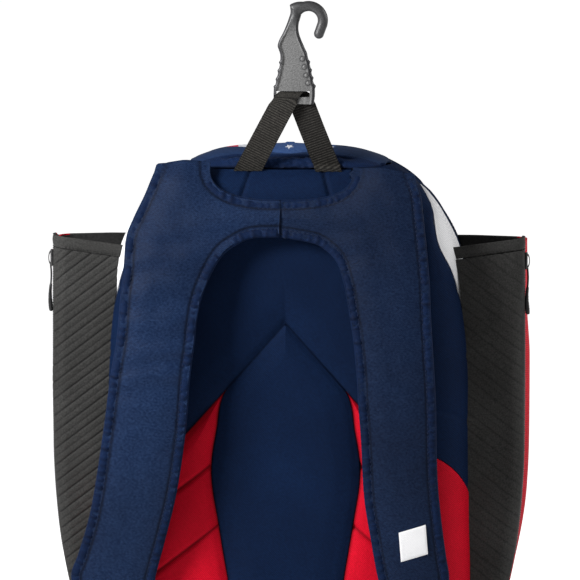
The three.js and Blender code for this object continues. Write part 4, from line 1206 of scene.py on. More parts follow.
def make_strap(side):
    sign, stand, (neck, outer, inner) = halves[side]
    inset = BINDING_WIDTH * 0.25
    bound = KDTree(len(neck) + len(outer) + len(inner))
    # Beside the bag's middle line the pad runs on under the tape, as full as it is inside.
    for number, spot in enumerate([*neck, *outer, *inner]):
        if abs(spot.x - BODY_OFFSET) > MIDDLE_REACH:
            bound.insert((spot.x, 0, spot.y), number)
    bound.balance()

    def from_edge(point):
        return bound.find((point.x, 0, point.z))[2]

    def place(across, up):
        share = 1 - up
        start = spread_along(inner, share)
        end = outer_boundary(neck, outer, share)
        width = (end - start).length
        cut = min(inset / max(width, 0.001), 0.45)
        past_neck = fade(share, NECK_SHARE - 0.02, NECK_SHARE)
        past_top = fade(share, TOP_EDGE_SHARE, TOP_EDGE_SHARE + 0.02)
        far_cut = cut * (1 - past_neck * (1 - past_top))
        near_cut = cut if abs(start.x - BODY_OFFSET) > MIDDLE_REACH else 0
        share_across = across if sign > 0 else 1 - across
        spot = start.lerp(end, mix(near_cut, 1 - far_cut, share_across))
        return Vector((spot.x, strap_back(spot.y, stand) - STRAP_THICKNESS / 2, spot.y))

    # Painted shade: a shadow line just inside the tape, and the right strap's overall painted shade.
    def dark(across, up, point):
        line = 0.8 * on_line(from_edge(point) - BINDING_WIDTH, 0.0014)
        return max(line, STRAP_PAINTED_SHADE[sign])

    pad = lay_grid(f"strap_pad_{side}", 60, 240, place, None, (0.075, 0.6), dark)
    group = pad.vertex_groups.new(name="fullness")
    for point in pad.data.vertices:
        edge = from_edge(point.co) - BINDING_WIDTH * 0.8
        full = 0.5 + 0.5 * math.sqrt(fade(edge, 0, 0.024))
        group.add([point.index], full, "REPLACE")
    apply_modifier(pad, "SOLIDIFY", thickness=STRAP_THICKNESS + 0.001, offset=0,
                   vertex_group="fullness", thickness_vertex_group=0.0)
    creases_on(pad, sign)
    dress(pad, navy_twill, "navy_twill", f"shoulder_strap_{side}", padded=0.7)


CREASE_SPACING = 0.0046
CREASE_RELIEF = 0.0008
CREASE_SHARE = {-1: 1.0, 1: 0.5}


def creases_on(pad, sign):
    """Soft folds that run across the strap, where it bends over the shoulder."""
    mesh = pad.data
    mesh.update()
    normals = [point.normal.copy() for point in mesh.vertices]
    for point, normal in zip(mesh.vertices, normals):
        if normal.y > 0:
            continue
        place = point.co
        waver = sign * place.x / 0.03 + 1.5 * ripple(place.x, place.z, 0.05, 1.0)
        fold = math.sin(place.z / CREASE_SPACING + waver)
        zone = fade(-place.z, 0.18, 0.24) * (1 - fade(-place.z, 0.36, 0.44))
        amount = CREASE_RELIEF * fold * zone * CREASE_SHARE[sign]
        point.co = place + normal * (amount + 0.0005 * ripple(place.x, place.z, 0.02, 4.0))
    mesh.update()


make_strap("left")
make_strap("right")

# %% [markdown]
# ## Binding tape and stitches
# The raw edges of the straps are folded into a soft tape, sewn down with one row of stitches. The
# tape is swept along the edge as a flattened tube that puckers a little between the stitches.

# %% Sweeping a tape along an edge
BINDING_THICKNESS = 0.0092
PUCKER_SIZE = 0.0042
PUCKER_SEED = 2.0


def sweep_tape(name, path, stand, turn):
    """A flat tube along a plan path. turn is 1 or -1: the side on which the strap lies."""
    length = sum((b - a).length for a, b in zip(path, path[1:]))
    count = round(length / 0.0011)

    def place(across, up):
        spot = spread_along(path, up)
        ahead = spread_along(path, min(up + 0.004, 1)) - spread_along(path, max(up - 0.004, 0))
        ahead.normalize()
        inward = Vector((-ahead.y, ahead.x)) * turn
        angle = across * 2 * math.pi
        pucker = 1 + 0.26 * ripple(spot.x, spot.y, PUCKER_SIZE, PUCKER_SEED)
        bulge = abs(math.sin(angle)) ** 0.8 * (1 if math.sin(angle) > 0 else -1)
        out = BINDING_WIDTH / 2 * math.cos(angle)
        center = spot + inward * (BINDING_WIDTH / 2)
        edge = center + inward * out
        rise = BINDING_THICKNESS / 2 * bulge * pucker
        shrink = min(fade(up, -0.002, 0.004), 1 - fade(up, 0.996, 1.002))
        rise *= max(shrink, 0.05)
        depth = strap_back(edge.y, stand) - STRAP_THICKNESS / 2
        return Vector((edge.x, depth - rise, edge.y))

    # Painted shade on the tape's inner side where it meets the pad, and in the folds of its puckers.
    def dark(across, up, point):
        inner_side = fade(math.cos(across * 2 * math.pi), 0.62, 0.98)
        spot = spread_along(path, up)
        fold = max(ripple(spot.x, spot.y, PUCKER_SIZE, PUCKER_SEED), 0)
        return max(0.85 * inner_side, 0.1 + 0.5 * fold)

    tape = lay_grid(name, 14, count, place, None, (0.02, length), dark)
    weld(tape, 0.00003)
    face_outward(tape)
    return tape


def make_bindings(side):
    sign, stand, (neck, outer, inner) = halves[side]
    whole = [*outer, *reversed(inner)]
    turn = 1 if sign < 0 else -1
    edge_tape = sweep_tape(f"edge_tape_{side}", whole, stand, turn)
    dress(edge_tape, navy_tape, "navy_mesh", f"strap_binding_{side}")
    neck_tape = sweep_tape(f"neck_tape_{side}", neck, stand, turn)
    dress(neck_tape, navy_tape, "navy_mesh", f"neck_binding_{side}")


make_bindings("left")
make_bindings("right")

# %% [markdown]
# The stitches are one small bead of thread, modelled once and repeated along the edge. There are
# hundreds of them, so the bead has only a few dozen faces and the copies are made as one mesh.

# %% A row of stitches along an edge
STITCH_LENGTH = 0.0026
STITCH_PITCH = 0.0042
STITCH_THICKNESS = 0.0008
STITCH_INSET = BINDING_WIDTH - 0.0016
STITCH_STAND = 0.0112


def one_stitch():
    """One small thread loop, a stretched round bead with a few dozen faces."""
    bpy.ops.mesh.primitive_uv_sphere_add(segments=6, ring_count=4, radius=0.5)
    bead = bpy.context.object
    bpy.ops.object.mode_set(mode="EDIT")
    bpy.ops.mesh.select_all(action="SELECT")
    bpy.ops.transform.resize(value=(STITCH_LENGTH, STITCH_THICKNESS, STITCH_THICKNESS))
    bpy.ops.object.mode_set(mode="OBJECT")
    return bead


def sew(name, places, finish, slot):
    """Copies of the stitch at each (place, direction), joined into one piece."""
    model = one_stitch()
    base_points = [point.co.copy() for point in model.data.vertices]
    base_faces = [list(face.vertices) for face in model.data.polygons]
    points = []
    faces = []
    for place, ahead in places:
        turn = Vector((1, 0, 0)).rotation_difference(ahead)
        start = len(points)
        points.extend(place + turn @ point for point in base_points)
        faces.extend([start + corner for corner in face] for face in base_faces)
    mesh = bpy.data.meshes.new(name)
    mesh.from_pydata(points, [], faces)
    row = bpy.data.objects.new(name, mesh)
    bpy.context.collection.objects.link(row)
    bpy.data.objects.remove(model)
    dress(row, finish, slot)


def stitch_places(path, stand, turn):
    """The place and direction of each stitch in a row beside an edge of the strap."""
    places = []
    gone = 0.0
    for before, after in zip(path, path[1:]):
        ahead = after - before
        length = ahead.length
        if length < 1e-7:
            continue
        ahead.normalize()
        inward = Vector((-ahead.y, ahead.x)) * turn
        while gone < length:
            spot = before + ahead * gone + inward * STITCH_INSET
            depth = strap_back(spot.y, stand) - STITCH_STAND
            slope = (strap_back(spot.y + ahead.y * 0.001, stand) - strap_back(spot.y, stand)) / 0.001
            direction = Vector((ahead.x, slope, ahead.y)).normalized()
            places.append((Vector((spot.x, depth, spot.y)), direction))
            gone += STITCH_PITCH
        gone -= length
    return places


for side in ("left", "right"):
    sign, stand, (neck, outer, inner) = halves[side]
    whole = [*outer, *reversed(inner)]
    turn = 1 if sign < 0 else -1
    both_rows = stitch_places(whole, stand, turn) + stitch_places(neck, stand, turn)
    sew(f"strap_stitches_{side}", both_rows, thread_navy, "navy_mesh")

# %% [markdown]
# ## Bat sleeves
# Each sleeve is a flat tube sewn to the side. Its near wall is charcoal cloth with slanting
# grooves pressed in, its far wall is red, and a black lining shows inside the mouth. The grooves
# are real relief on a fine grid, because they catch the light along the whole sleeve.

# %% Sizes of the sleeves
SLEEVE_REACH = 0.054
SLEEVE_DEPTH = 0.092
SLEEVE_HEIGHT = 0.4
SLEEVE_WALL = 0.003
SLEEVE_SET_BACK = 0.038
SLEEVE_FAR = 0.13
SLEEVE_CORNER = 0.014
SLEEVE_MOUTH = -0.234
SLEEVE_MOUTH_RISE = 0.007
SLEEVE_HEM = 0.0125
LINING_HEIGHT = 0.06
FAR_MOUTH_INNER = -0.2374
FAR_MOUTH_OUTER = -0.2389
RIM_TAPE = 0.0045
ZIP_LINE = 0.052
SLEEVE_ZIP_WIDTH = 0.005
GROOVE_SPACING = 0.017
GROOVE_SLOPE = math.tan(math.radians(37))
SLEEVE_BOTTOM = SLEEVE_MOUTH - SLEEVE_HEIGHT

SLEEVE_SECTIONS = [
    (0.0, 0.3, 0.8), (0.04, 0.52, 0.92), (0.16, 0.76, 1.0), (0.3, 0.92, 1.0), (0.48, 1.0, 1.0),
    (1.1, 1.0, 1.0),
]


def sleeve_edges(z, inset=0.0):
    """Reach from the body's side, near and far depth and corner radius at a height."""
    reach, depth = blend_rows(SLEEVE_SECTIONS, (z - SLEEVE_BOTTOM) / SLEEVE_HEIGHT)
    spare = (1 - depth) * SLEEVE_DEPTH / 2
    corner = min(SLEEVE_CORNER, reach * SLEEVE_REACH * 0.6)
    near = SLEEVE_SET_BACK + spare + inset
    return reach * SLEEVE_REACH - inset, near, SLEEVE_FAR - spare - inset, corner


def sleeve_root(z, y):
    """How far out the body is where the sleeve is sewn on."""
    half = body_section(z)[0]
    return body_point(z, run_to_y(z, y)).x - BODY_OFFSET + 0.0005 if y > 0 else half


def sleeve_point(sign, z, y_or_run, inset=0.0):
    """A point of the sleeve's outline; the run starts at the body on the near side."""
    reach, near, far, corner = sleeve_edges(z, inset)
    outer = HALF_WIDTH + reach
    root_near = sleeve_root(z, near)
    flat = max(outer - corner - root_near, 0.001)
    turn = corner * math.pi / 2
    side = far - near - 2 * corner
    run = y_or_run
    if run < flat:
        x, y = root_near + run, near
    elif run < flat + turn:
        lean = (run - flat) / corner
        x, y = outer - corner + corner * math.sin(lean), near + corner * (1 - math.cos(lean))
    elif run < flat + turn + side:
        x, y = outer, near + corner + run - flat - turn
    elif run < flat + 2 * turn + side:
        lean = (run - flat - turn - side) / corner
        x, y = outer - corner + corner * math.cos(lean), far - corner + corner * math.sin(lean)
    else:
        x, y = max(outer - corner - (run - flat - 2 * turn - side), sleeve_root(z, far)), far
    return Vector((BODY_OFFSET + sign * x, y, z))


def sleeve_runs(z, inset=0.0):
    """Runs at the zip line and at the end of the far wall."""
    reach, near, far, corner = sleeve_edges(z, inset)
    outer = HALF_WIDTH + reach
    flat = max(outer - corner - sleeve_root(z, near), 0.001)
    turn = corner * math.pi / 2
    side = far - near - 2 * corner
    to_zip = flat + turn + max(ZIP_LINE - near - corner, 0)
    back_flat = max(outer - corner - sleeve_root(z, far), 0.001)
    return to_zip, flat + 2 * turn + side + back_flat


def mouth_height(x_out, y=0.0):
    """The mouth's edge at a distance out from the bag's middle and a depth."""
    near = SLEEVE_MOUTH - SLEEVE_MOUTH_RISE / 2 + (x_out - HALF_WIDTH) * SLEEVE_MOUTH_RISE / SLEEVE_REACH
    far = mix(FAR_MOUTH_INNER, FAR_MOUTH_OUTER, min(max((x_out - HALF_WIDTH) / SLEEVE_REACH, 0), 1))
    return mix(near, far, fade(y, ZIP_LINE + 0.008, ZIP_LINE + 0.03))


print("Sleeve bottom at", round(SLEEVE_BOTTOM, 4))

# %% [markdown]
# A sleeve's outline is measured as a run from the body, round the near corner to the zip and on to
# the far side. Each wall is a grid between two such runs, so near wall, zip and far wall meet without
# a gap. The near wall closes at its foot, where its rows are drawn in to the middle.

# %% Walls of a sleeve
def sleeve_wall(name, sign, columns, rows, start_of, end_of, low, drop, relief, lengths,
                inset=0.0, dark=None):
    """A wall between two runs, from a low end up to the mouth less a drop."""
    def place(across, up):
        share = across if sign > 0 else 1 - across
        run_high = mix(start_of(SLEEVE_MOUTH), end_of(SLEEVE_MOUTH), share)
        at_mouth = sleeve_point(sign, SLEEVE_MOUTH, run_high, inset)
        top = mouth_height(abs(at_mouth.x - BODY_OFFSET), at_mouth.y) - drop
        floor_share = 0.0
        if low is None:
            floor_share = 1 - fade(up, 0.0, 0.06)
            up = max((up - 0.06) / 0.94, 0)
        z = mix(SLEEVE_BOTTOM + inset if low is None else top + drop - low, top, up)
        point = sleeve_point(sign, z, mix(start_of(z), end_of(z), share), inset)
        middle = Vector((BODY_OFFSET + sign * (HALF_WIDTH + 0.001), (SLEEVE_SET_BACK + SLEEVE_FAR) / 2, z))
        return point.lerp(middle, floor_share * 0.98)
    return lay_grid(name, columns, rows, place, relief, lengths, dark)


def on_near_wall(point):
    """1 on the flat near wall, and 0 once the cloth has turned the corner."""
    return 1 - fade(point.y, SLEEVE_SET_BACK + 0.006, SLEEVE_SET_BACK + 0.014)


def groove_lines(sign, point):
    """How near a point of the near wall is to a main groove and to a fine one, from 0 to 1."""
    out = abs(point.x - BODY_OFFSET)
    level_here = (point.z + GROOVE_SLOPE * (out - HALF_WIDTH)) / GROOVE_SPACING
    deep = abs(level_here - round(level_here)) * GROOVE_SPACING
    fine = abs(level_here + 0.5 - round(level_here + 0.5)) * GROOVE_SPACING
    strength = on_near_wall(point) if sign < 0 else 0.55 * on_near_wall(point)
    return on_line(deep, 0.0009) * strength, on_line(fine, 0.0008) * strength


def groove_relief(sign):
    def relief(across, up, point):
        deep, fine = groove_lines(sign, point)
        sag = 0.0016 * math.sin(point.z * 26 + sign) + 0.001 * ripple(point.x, point.z, 0.05, 7.0)
        return (sag * on_near_wall(point) - 0.0012 * deep - 0.0006 * fine) * fade(up, 0.06, 0.12)
    return relief


# Painted shade in the main and fine grooves of the near wall.
def groove_painted_shade(sign):
    def dark(across, up, point):
        deep, fine = groove_lines(sign, point)
        return 0.7 * deep + 0.35 * fine
    return dark


SEAM_HALF_GAP = 0.0002
TEETH_LENGTH = 0.32


def at_body(z):
    return 0


def before_zip(z):
    return sleeve_runs(z)[0] - SEAM_HALF_GAP


def at_zip(z):
    return sleeve_runs(z)[0] + SEAM_HALF_GAP


def past_zip(z):
    return sleeve_runs(z)[0] + SLEEVE_ZIP_WIDTH


def make_sleeve(side, sign):
    near = sleeve_wall(f"sleeve_near_{side}", sign, 70, 380, at_body, before_zip, None,
                       SLEEVE_HEM + SEAM_HALF_GAP, groove_relief(sign), (0.075, 0.39), 0.0,
                       groove_painted_shade(sign))
    apply_modifier(near, "SOLIDIFY", thickness=SLEEVE_WALL, offset=-1)
    dress(near, sleeve_cloth, "grooved_cloth", f"bat_sleeve_near_{side}")

    hem = sleeve_wall(f"sleeve_hem_{side}", sign, 60, 14, at_body, before_zip,
                      SLEEVE_HEM - SEAM_HALF_GAP, 0, hem_relief, (0.075, SLEEVE_HEM))
    apply_modifier(hem, "SOLIDIFY", thickness=SLEEVE_WALL, offset=-1)
    apply_modifier(hem, "BEVEL", width=0.0012, segments=2, limit_method="ANGLE",
                   angle_limit=math.radians(60))
    dress(hem, sleeve_cloth, "black_trim", f"bat_sleeve_hem_{side}")

    far = sleeve_wall(f"sleeve_far_{side}", sign, 70, 90, lambda z: past_zip(z) + SEAM_GAP,
                      lambda z: sleeve_runs(z)[1], None, 0, far_relief, (0.13, 0.4))
    apply_modifier(far, "SOLIDIFY", thickness=SLEEVE_WALL, offset=-1)
    dress(far, red_cloth, "red_cloth", f"bat_sleeve_far_{side}")
    far.data.materials.append(black_tape)
    for face in far.data.polygons:
        out = abs(face.center.x - BODY_OFFSET)
        rim_low = mouth_height(out, face.center.y) - RIM_TAPE
        if face.center.z > rim_low and out < HALF_WIDTH + SLEEVE_REACH - 0.011:
            face.material_index = 1

    lining = sleeve_wall(f"sleeve_lining_{side}", sign, 60, 16, lambda z: sleeve_runs(z)[0] - 0.006,
                         lambda z: sleeve_runs(z)[1] - 0.006, LINING_HEIGHT, 0.001, None, (0.12, 0.06),
                         SLEEVE_WALL + SEAM_GAP)
    apply_modifier(lining, "SOLIDIFY", thickness=0.001, offset=-1)
    dress(lining, lining_cloth, "black_trim", f"bat_sleeve_lining_{side}")

    zip_tape = sleeve_wall(f"sleeve_zip_{side}", sign, 6, 420, at_zip, past_zip, TEETH_LENGTH, 0,
                           teeth_relief, (SLEEVE_ZIP_WIDTH, TEETH_LENGTH))
    apply_modifier(zip_tape, "SOLIDIFY", thickness=SLEEVE_WALL, offset=-1)
    dress(zip_tape, zip_black, "black_trim", f"bat_sleeve_zip_{side}")


def hem_relief(across, up, point):
    return 0.0009 * math.sin(math.pi * up) - 0.0004 + 0.0005 * ripple(point.x, point.z, 0.012, 6.0)


def far_relief(across, up, point):
    bulge = 0.003 if point.x > BODY_OFFSET else 0.0004
    outside = fade(point.y, ZIP_LINE + 0.004, ZIP_LINE + 0.03) * (1 - fade(point.y, 0.1, 0.118))
    tall = fade(up, 0.2, 0.4) * (1 - fade(up, 0.72, 0.86))
    return bulge * outside * tall


def teeth_relief(across, up, point):
    tooth = 0.5 + 0.5 * math.sin(up * TEETH_LENGTH / 0.0024 * 2 * math.pi)
    return 0.0008 * tooth if 0.2 < across < 0.8 else 0.0


make_sleeve("left", -1)
make_sleeve("right", 1)

# %% [markdown]
# The hem is caught to the sleeve by a short row of black stitches, with the same bead as before.

# %% Stitches under the hems
HEM_STITCHES = 16

for side, sign in (("left", -1), ("right", 1)):
    places = []
    for i in range(HEM_STITCHES):
        run = 0.004 + i * STITCH_PITCH * 0.85
        if run > sleeve_runs(SLEEVE_MOUTH)[0] - 0.02:
            break
        spot = sleeve_point(sign, SLEEVE_MOUTH - SLEEVE_HEM, run)
        spot.z = mouth_height(abs(spot.x - BODY_OFFSET)) - SLEEVE_HEM + 0.0022
        spot.y -= 0.0009
        places.append((spot, Vector((1, 0, sign * 0.13)).normalized()))
    sew(f"hem_stitches_{side}", places, thread_black, "black_trim")

# %% [markdown]
# ## Zip sliders and pulls
# The slider is a small metal body with a bridge on its face, from which a short cord carries a
# moulded grip. Both are drawn out of simple primitives whose points are moved into place.

# %% Slider, cord and grip
SLIDER_LENGTH = 0.017
SLIDER_WIDTH = 0.007
SLIDER_THICKNESS = 0.005
PULL_CORD_LENGTH = 0.02

# Each row: the way down in cord lengths, then the radius of the cord or grip there.
PULL_ROWS = [
    (0.0, 0.0009), (0.3, 0.0009), (0.7, 0.0009), (0.98, 0.0009), (1.0, 0.0019), (1.06, 0.0024),
    (1.3, 0.0025), (1.6, 0.0029), (2.0, 0.0035), (2.2, 0.0036), (2.3, 0.0033), (2.35, 0.0022),
    (2.36, 0.0003),
]


def make_slider(side, sign):
    wall = BODY_OFFSET + sign * (HALF_WIDTH + SLEEVE_REACH + SEAM_GAP)
    top = SLEEVE_MOUTH - SLEEVE_HEM
    middle_y = ZIP_LINE + SLEEVE_ZIP_WIDTH / 2
    middle_z = top - SLIDER_LENGTH / 2
    bpy.ops.mesh.primitive_cube_add(size=1)
    slider = bpy.context.object
    slider.name = f"slider_body_{side}"
    for point in slider.data.vertices:
        taper = 1.0 if point.co.z > 0 else 0.68
        out, aside, rise = point.co
        point.co = Vector((wall + sign * (0.5 + out) * 0.0026, middle_y + aside * SLIDER_WIDTH * taper,
                           middle_z + rise * SLIDER_LENGTH))
    apply_modifier(slider, "BEVEL", width=0.0008, segments=3)
    bpy.ops.mesh.primitive_torus_add(major_segments=24, minor_segments=8, major_radius=0.0042,
                                     minor_radius=0.0008)
    bridge = bpy.context.object
    for point in bridge.data.vertices:
        point.co = Vector((wall + sign * (0.0022 + point.co.y * 0.55), middle_y + point.co.z,
                           middle_z + point.co.x * 1.5))
    slider = join_pieces(slider, bridge)
    face_outward(slider)
    dress(slider, hook_rim, "zip_metal", f"sleeve_slider_{side}")

    hang = wall + sign * SLIDER_THICKNESS / 2
    cord_top = top - SLIDER_LENGTH + 0.0015

    def place(across, up):
        low = up * (len(PULL_ROWS) - 1)
        first = min(int(low), len(PULL_ROWS) - 2)
        share = low - first
        down = mix(PULL_ROWS[first][0], PULL_ROWS[first + 1][0], share)
        radius = mix(PULL_ROWS[first][1], PULL_ROWS[first + 1][1], share)
        ridge = 1 + (0.08 if 1.3 < down < 2.1 and math.sin(down * 40) > 0 else 0)
        flat = 0.62 if down > 1 else 1.0
        angle = -across * 2 * math.pi
        sway = 0.0006 * math.sin(down * 3)
        out = math.cos(angle) * radius * flat * ridge
        return Vector((hang + sway + out, middle_y + math.sin(angle) * radius,
                       cord_top - down * PULL_CORD_LENGTH))

    pull = lay_grid(f"pull_grip_{side}", 16, 96, place, None, (0.02, 0.05))
    weld(pull)
    face_outward(pull)
    dress(pull, zip_black, "black_trim", f"sleeve_pull_{side}")


make_slider("left", -1)
make_slider("right", 1)

# %% [markdown]
# ## Fence hook
# The hook is one moulding: a flat shank with a grey face inside a dark rounded rim, which narrows
# into a round crook for the fence wire. We lay it as a strip between its two edges. Across the
# strip the depth follows the distance from the nearest edge, so the rim rounds over, the face
# sinks, and both flow into the crook.

# %% Hook sizes and the two edges
CROOK_RADIUS = 0.0092
CROOK_BAND = 0.0103
HOOK_THICKNESS = 0.010
BAR_TOP = -0.086
BAR_HEIGHT = 0.007
BAR_THICKNESS = 0.006
SLOT_CENTER = -0.0154
SLOT_WIDTH = 0.0335
SLOT_HEIGHT = 0.006
RIM_WIDTH = 0.0026
FACE_RECESS = 0.0016
RIB_HEIGHTS = [-0.0510, -0.0592, -0.0674, -0.0752]

# Each row: a point of the left or outer edge, then the point of the right or inner edge across
# from it. The rows go from the foot up the shank to the corner where the crook begins.
SHANK_ROWS = [
    (-0.0338, -0.0930, 0.0052, -0.0930), (-0.0348, -0.0870, 0.0063, -0.0860),
    (-0.0346, -0.0785, 0.0064, -0.0785), (-0.0338, -0.0757, 0.0062, -0.0757),
    (-0.0328, -0.0730, 0.0049, -0.0718), (-0.0308, -0.0640, 0.0032, -0.0634),
    (-0.0287, -0.0545, 0.0014, -0.0545), (-0.0280, -0.0477, -0.0006, -0.0470),
    (-0.0282, -0.0430, -0.0016, -0.0420), (-0.0296, -0.0385, -0.0036, -0.0378),
    (-0.0307, -0.0345, -0.0052, -0.0340), (-0.0292, -0.0290, -0.0070, -0.0300),
    (-0.0256, -0.0220, -0.0092, -0.0238), (-0.0222, -0.0142, -0.0101, -0.0180),
    (-0.0198, -0.0075, -0.0097, -0.0125), (-0.0181, -0.0018, -0.0086, -0.0085),
    (-0.0183, 0.0030, -0.0078, -0.0058), (-0.0188, 0.0060, -0.0073, -0.0043),
]
CORNER_ROW = len(SHANK_ROWS) - 1
STEPS_PER_ROW = 10
CROOK_CORNER = Vector((-0.0176, 0.0072))
CROOK_START = 106
CROOK_INNER_START = 148
CROOK_END = -24
TIP_LEFT = Vector((0.0149, -0.0250))
TIP_RIGHT = Vector((0.0060, -0.0200))
TIP_SIZE = 0.94


def hook_rows():
    """Left point, right point and size of each cross-section, close together along the hook."""
    rows = []
    keyed = [(i, *row) for i, row in enumerate(SHANK_ROWS)]
    for step in range(CORNER_ROW * STEPS_PER_ROW + 1):
        values = blend_rows(keyed, step / STEPS_PER_ROW)
        rows.append((Vector(values[:2]), Vector(values[2:]), 1.0))
    center = Vector((0, -CROOK_RADIUS))
    outer = CROOK_RADIUS + CROOK_BAND
    start = math.radians(CROOK_START)
    first = center + Vector((math.cos(start), math.sin(start))) * outer
    for step in range(15):
        share = step / 14
        left = CROOK_CORNER.lerp(first, share)
        left.y += 0.0009 * math.sin(math.pi * share)
        angle = math.radians(mix(CROOK_INNER_START, CROOK_START, share))
        right = center + Vector((math.cos(angle), math.sin(angle))) * CROOK_RADIUS
        rows.append((left, right, 1.0))
    for step in range(1, 73):
        angle = math.radians(mix(CROOK_START, CROOK_END, step / 72))
        ahead = Vector((math.cos(angle), math.sin(angle)))
        rows.append((center + ahead * outer, center + ahead * CROOK_RADIUS, 1.0))
    last_left, last_right, _ = rows[-1]
    for step in range(1, 19):
        share = step / 18
        rows.append((last_left.lerp(TIP_LEFT, share), last_right.lerp(TIP_RIGHT, share),
                     mix(1, TIP_SIZE, share)))
    across = (TIP_LEFT - TIP_RIGHT) / 2
    middle = (TIP_LEFT + TIP_RIGHT) / 2
    ahead = Vector((across.y, -across.x))
    if ahead.y > 0:
        ahead = -ahead
    for step in range(1, 13):
        angle = step / 12 * math.pi / 2 * 0.99
        spot = middle + ahead * math.sin(angle)
        half = across * math.cos(angle)
        rows.append((spot + half, spot - half, TIP_SIZE * math.cos(angle)))
    return rows


HOOK_ROWS = hook_rows()
print("Rows along the hook:", len(HOOK_ROWS))

# %% [markdown]
# Front and back of the hook are two grids over the same rows, joined and welded at their edges. The
# open end at the foot is then filled. Ribs on the rim swell the outline at four heights, and the
# slot is cut out by a Boolean at the end, because a grid has no holes.

# %% The moulding
def hook_depth(distance, half_width, crook):
    """How far the face stands from the hook's middle plane at a distance from the edge."""
    round_over = mix(RIM_WIDTH, half_width, crook)
    share = min(distance / round_over, 1)
    rise = math.sqrt(max(1 - (1 - share) ** 2, 0))
    sunk = FACE_RECESS * fade(distance, RIM_WIDTH, RIM_WIDTH + 0.0009) * (1 - crook)
    if distance < 0.00001:
        return 0.0
    return HOOK_THICKNESS / 2 * mix(mix(0.55, 0.0, crook), 1, rise) - sunk


def make_hook():
    count = len(HOOK_ROWS) - 1

    def section(across, up):
        """The place in the hook's plane, its distance from the edge, and how round it is."""
        index = round(up * count)
        left, right, size = HOOK_ROWS[index]
        middle = (left + right) / 2
        on_shank = index <= CORNER_ROW * STEPS_PER_ROW
        crook = 1 - fade(-middle.y, 0.004, 0.030) if on_shank else 1.0
        width = (right - left).length
        share = 0.5 - 0.5 * math.cos(math.pi * across)
        distance = min(share, 1 - share) * width
        bump = max(on_line(middle.y - height, 0.0015) for height in RIB_HEIGHTS)
        near_edge = 1 - fade(distance, 0, RIM_WIDTH)
        outward = (right - left).normalized() * 0.0012 * bump * near_edge
        spot = left.lerp(right, share) + outward * (1 if share > 0.5 else -1)
        return spot, distance, width, crook, size

    def half(sign):
        def place(across, up):
            spot, distance, width, crook, size = section(across, up)
            depth = hook_depth(distance, width / 2, crook) * size
            if spot.y < BAR_TOP + 0.002 and sign * (spot.x - SLOT_CENTER) < 0.011:
                depth = min(depth, BAR_THICKNESS / 2 - 0.0002)
            return Vector((spot.x, -sign * depth, spot.y))

        def dark(across, up, point):
            spot, distance, width, crook, size = section(across, up)
            rim = 1 - fade(distance, RIM_WIDTH - 0.0008, RIM_WIDTH + 0.0006)
            # A painted shadow ring round each pip on the right side of the face.
            ring = max(on_line((spot - pip).length - 0.0025, 0.0007) for pip in PIP_PLACES[::2])
            return max(rim * mix(1, 0.85, crook), 0.9 * ring * (1 - crook), 0.78 * crook)

        piece = lay_grid("hook_half", 44, count, place, None, (0.04, 0.15), dark)
        if sign < 0:
            bpy.ops.object.mode_set(mode="EDIT")
            bpy.ops.mesh.select_all(action="SELECT")
            bpy.ops.mesh.flip_normals()
            bpy.ops.object.mode_set(mode="OBJECT")
        return piece

    hook = join_pieces(half(1), half(-1))
    hook.name = "hook_moulding"
    weld(hook, 0.00002)
    bpy.ops.object.mode_set(mode="EDIT")
    bpy.ops.mesh.select_all(action="DESELECT")
    bpy.ops.mesh.select_mode(type="EDGE")
    bpy.ops.mesh.select_non_manifold()
    bpy.ops.mesh.fill_holes(sides=0)
    bpy.ops.mesh.select_all(action="SELECT")
    bpy.ops.mesh.normals_make_consistent(inside=False)
    bpy.ops.mesh.select_mode(type="VERT")
    bpy.ops.object.mode_set(mode="OBJECT")
    return hook


def cut_slot(hook):
    """The slot for the webbing is cut out with a box that goes right through."""
    bpy.ops.mesh.primitive_cube_add(size=1)
    cutter = bpy.context.object
    for point in cutter.data.vertices:
        point.co = Vector((SLOT_CENTER + point.co.x * SLOT_WIDTH, point.co.y * 0.03,
                           BAR_TOP + (0.5 + point.co.z) * SLOT_HEIGHT))
    apply_modifier(hook, "BOOLEAN", object=cutter, operation="DIFFERENCE", solver="EXACT")
    bpy.data.objects.remove(cutter)


PIP_PLACES = []
for index, height in enumerate(RIB_HEIGHTS):
    PIP_PLACES.append(Vector((-0.0057 + 0.0019 * index, height + 0.0035)))
    PIP_PLACES.append(Vector((-0.0250 - 0.0012 * index, height + 0.0015)))
hook = make_hook()
cut_slot(hook)
dress(hook, hook_plastic, "hook_plastic", "fence_hook")

# %% [markdown]
# Small round pips for the thumb stand beside the ribs. They are flattened spheres that sit in the
# face, full on the right side and nearly flush on the left.

# %% Round pips on the face of the hook
def make_pips():
    pips = []
    for number, place in enumerate(PIP_PLACES):
        bpy.ops.mesh.primitive_uv_sphere_add(segments=20, ring_count=10, radius=0.0021)
        pip = bpy.context.object
        face = -HOOK_THICKNESS / 2 + FACE_RECESS
        rise = 0.5 if number % 2 == 0 else 0.15
        for point in pip.data.vertices:
            point.co = Vector((place.x + point.co.x, face + point.co.z * rise, place.y + point.co.y))
        pips.append(pip)
    first = join_pieces(*pips)
    first.name = "hook_pips"
    face_outward(first)
    dress(first, hook_plastic, "hook_plastic")


make_pips()

# %% [markdown]
# ## Webbing
# One strip of ribbed nylon comes up in front of the hook's bar, folds over it through the slot and
# goes down behind. Its cross ribs are modelled, because they are as wide as a pixel or two here.

# %% Hook webbing
WEBBING_WIDTH = 0.025
WEBBING_THICKNESS = 0.0016
FRONT_LEG_SPREAD = math.radians(27.8)
REAR_LEG_SPREAD = math.radians(20.2)
FOLD_SHIFT = 0.0063
RIB_PITCH = 0.0025
RIB_RELIEF = 0.0004
LEG_END = TOP_SEAM - 0.0035
FOLD_RADIUS = BAR_THICKNESS / 2 + SEAM_GAP + WEBBING_THICKNESS / 2


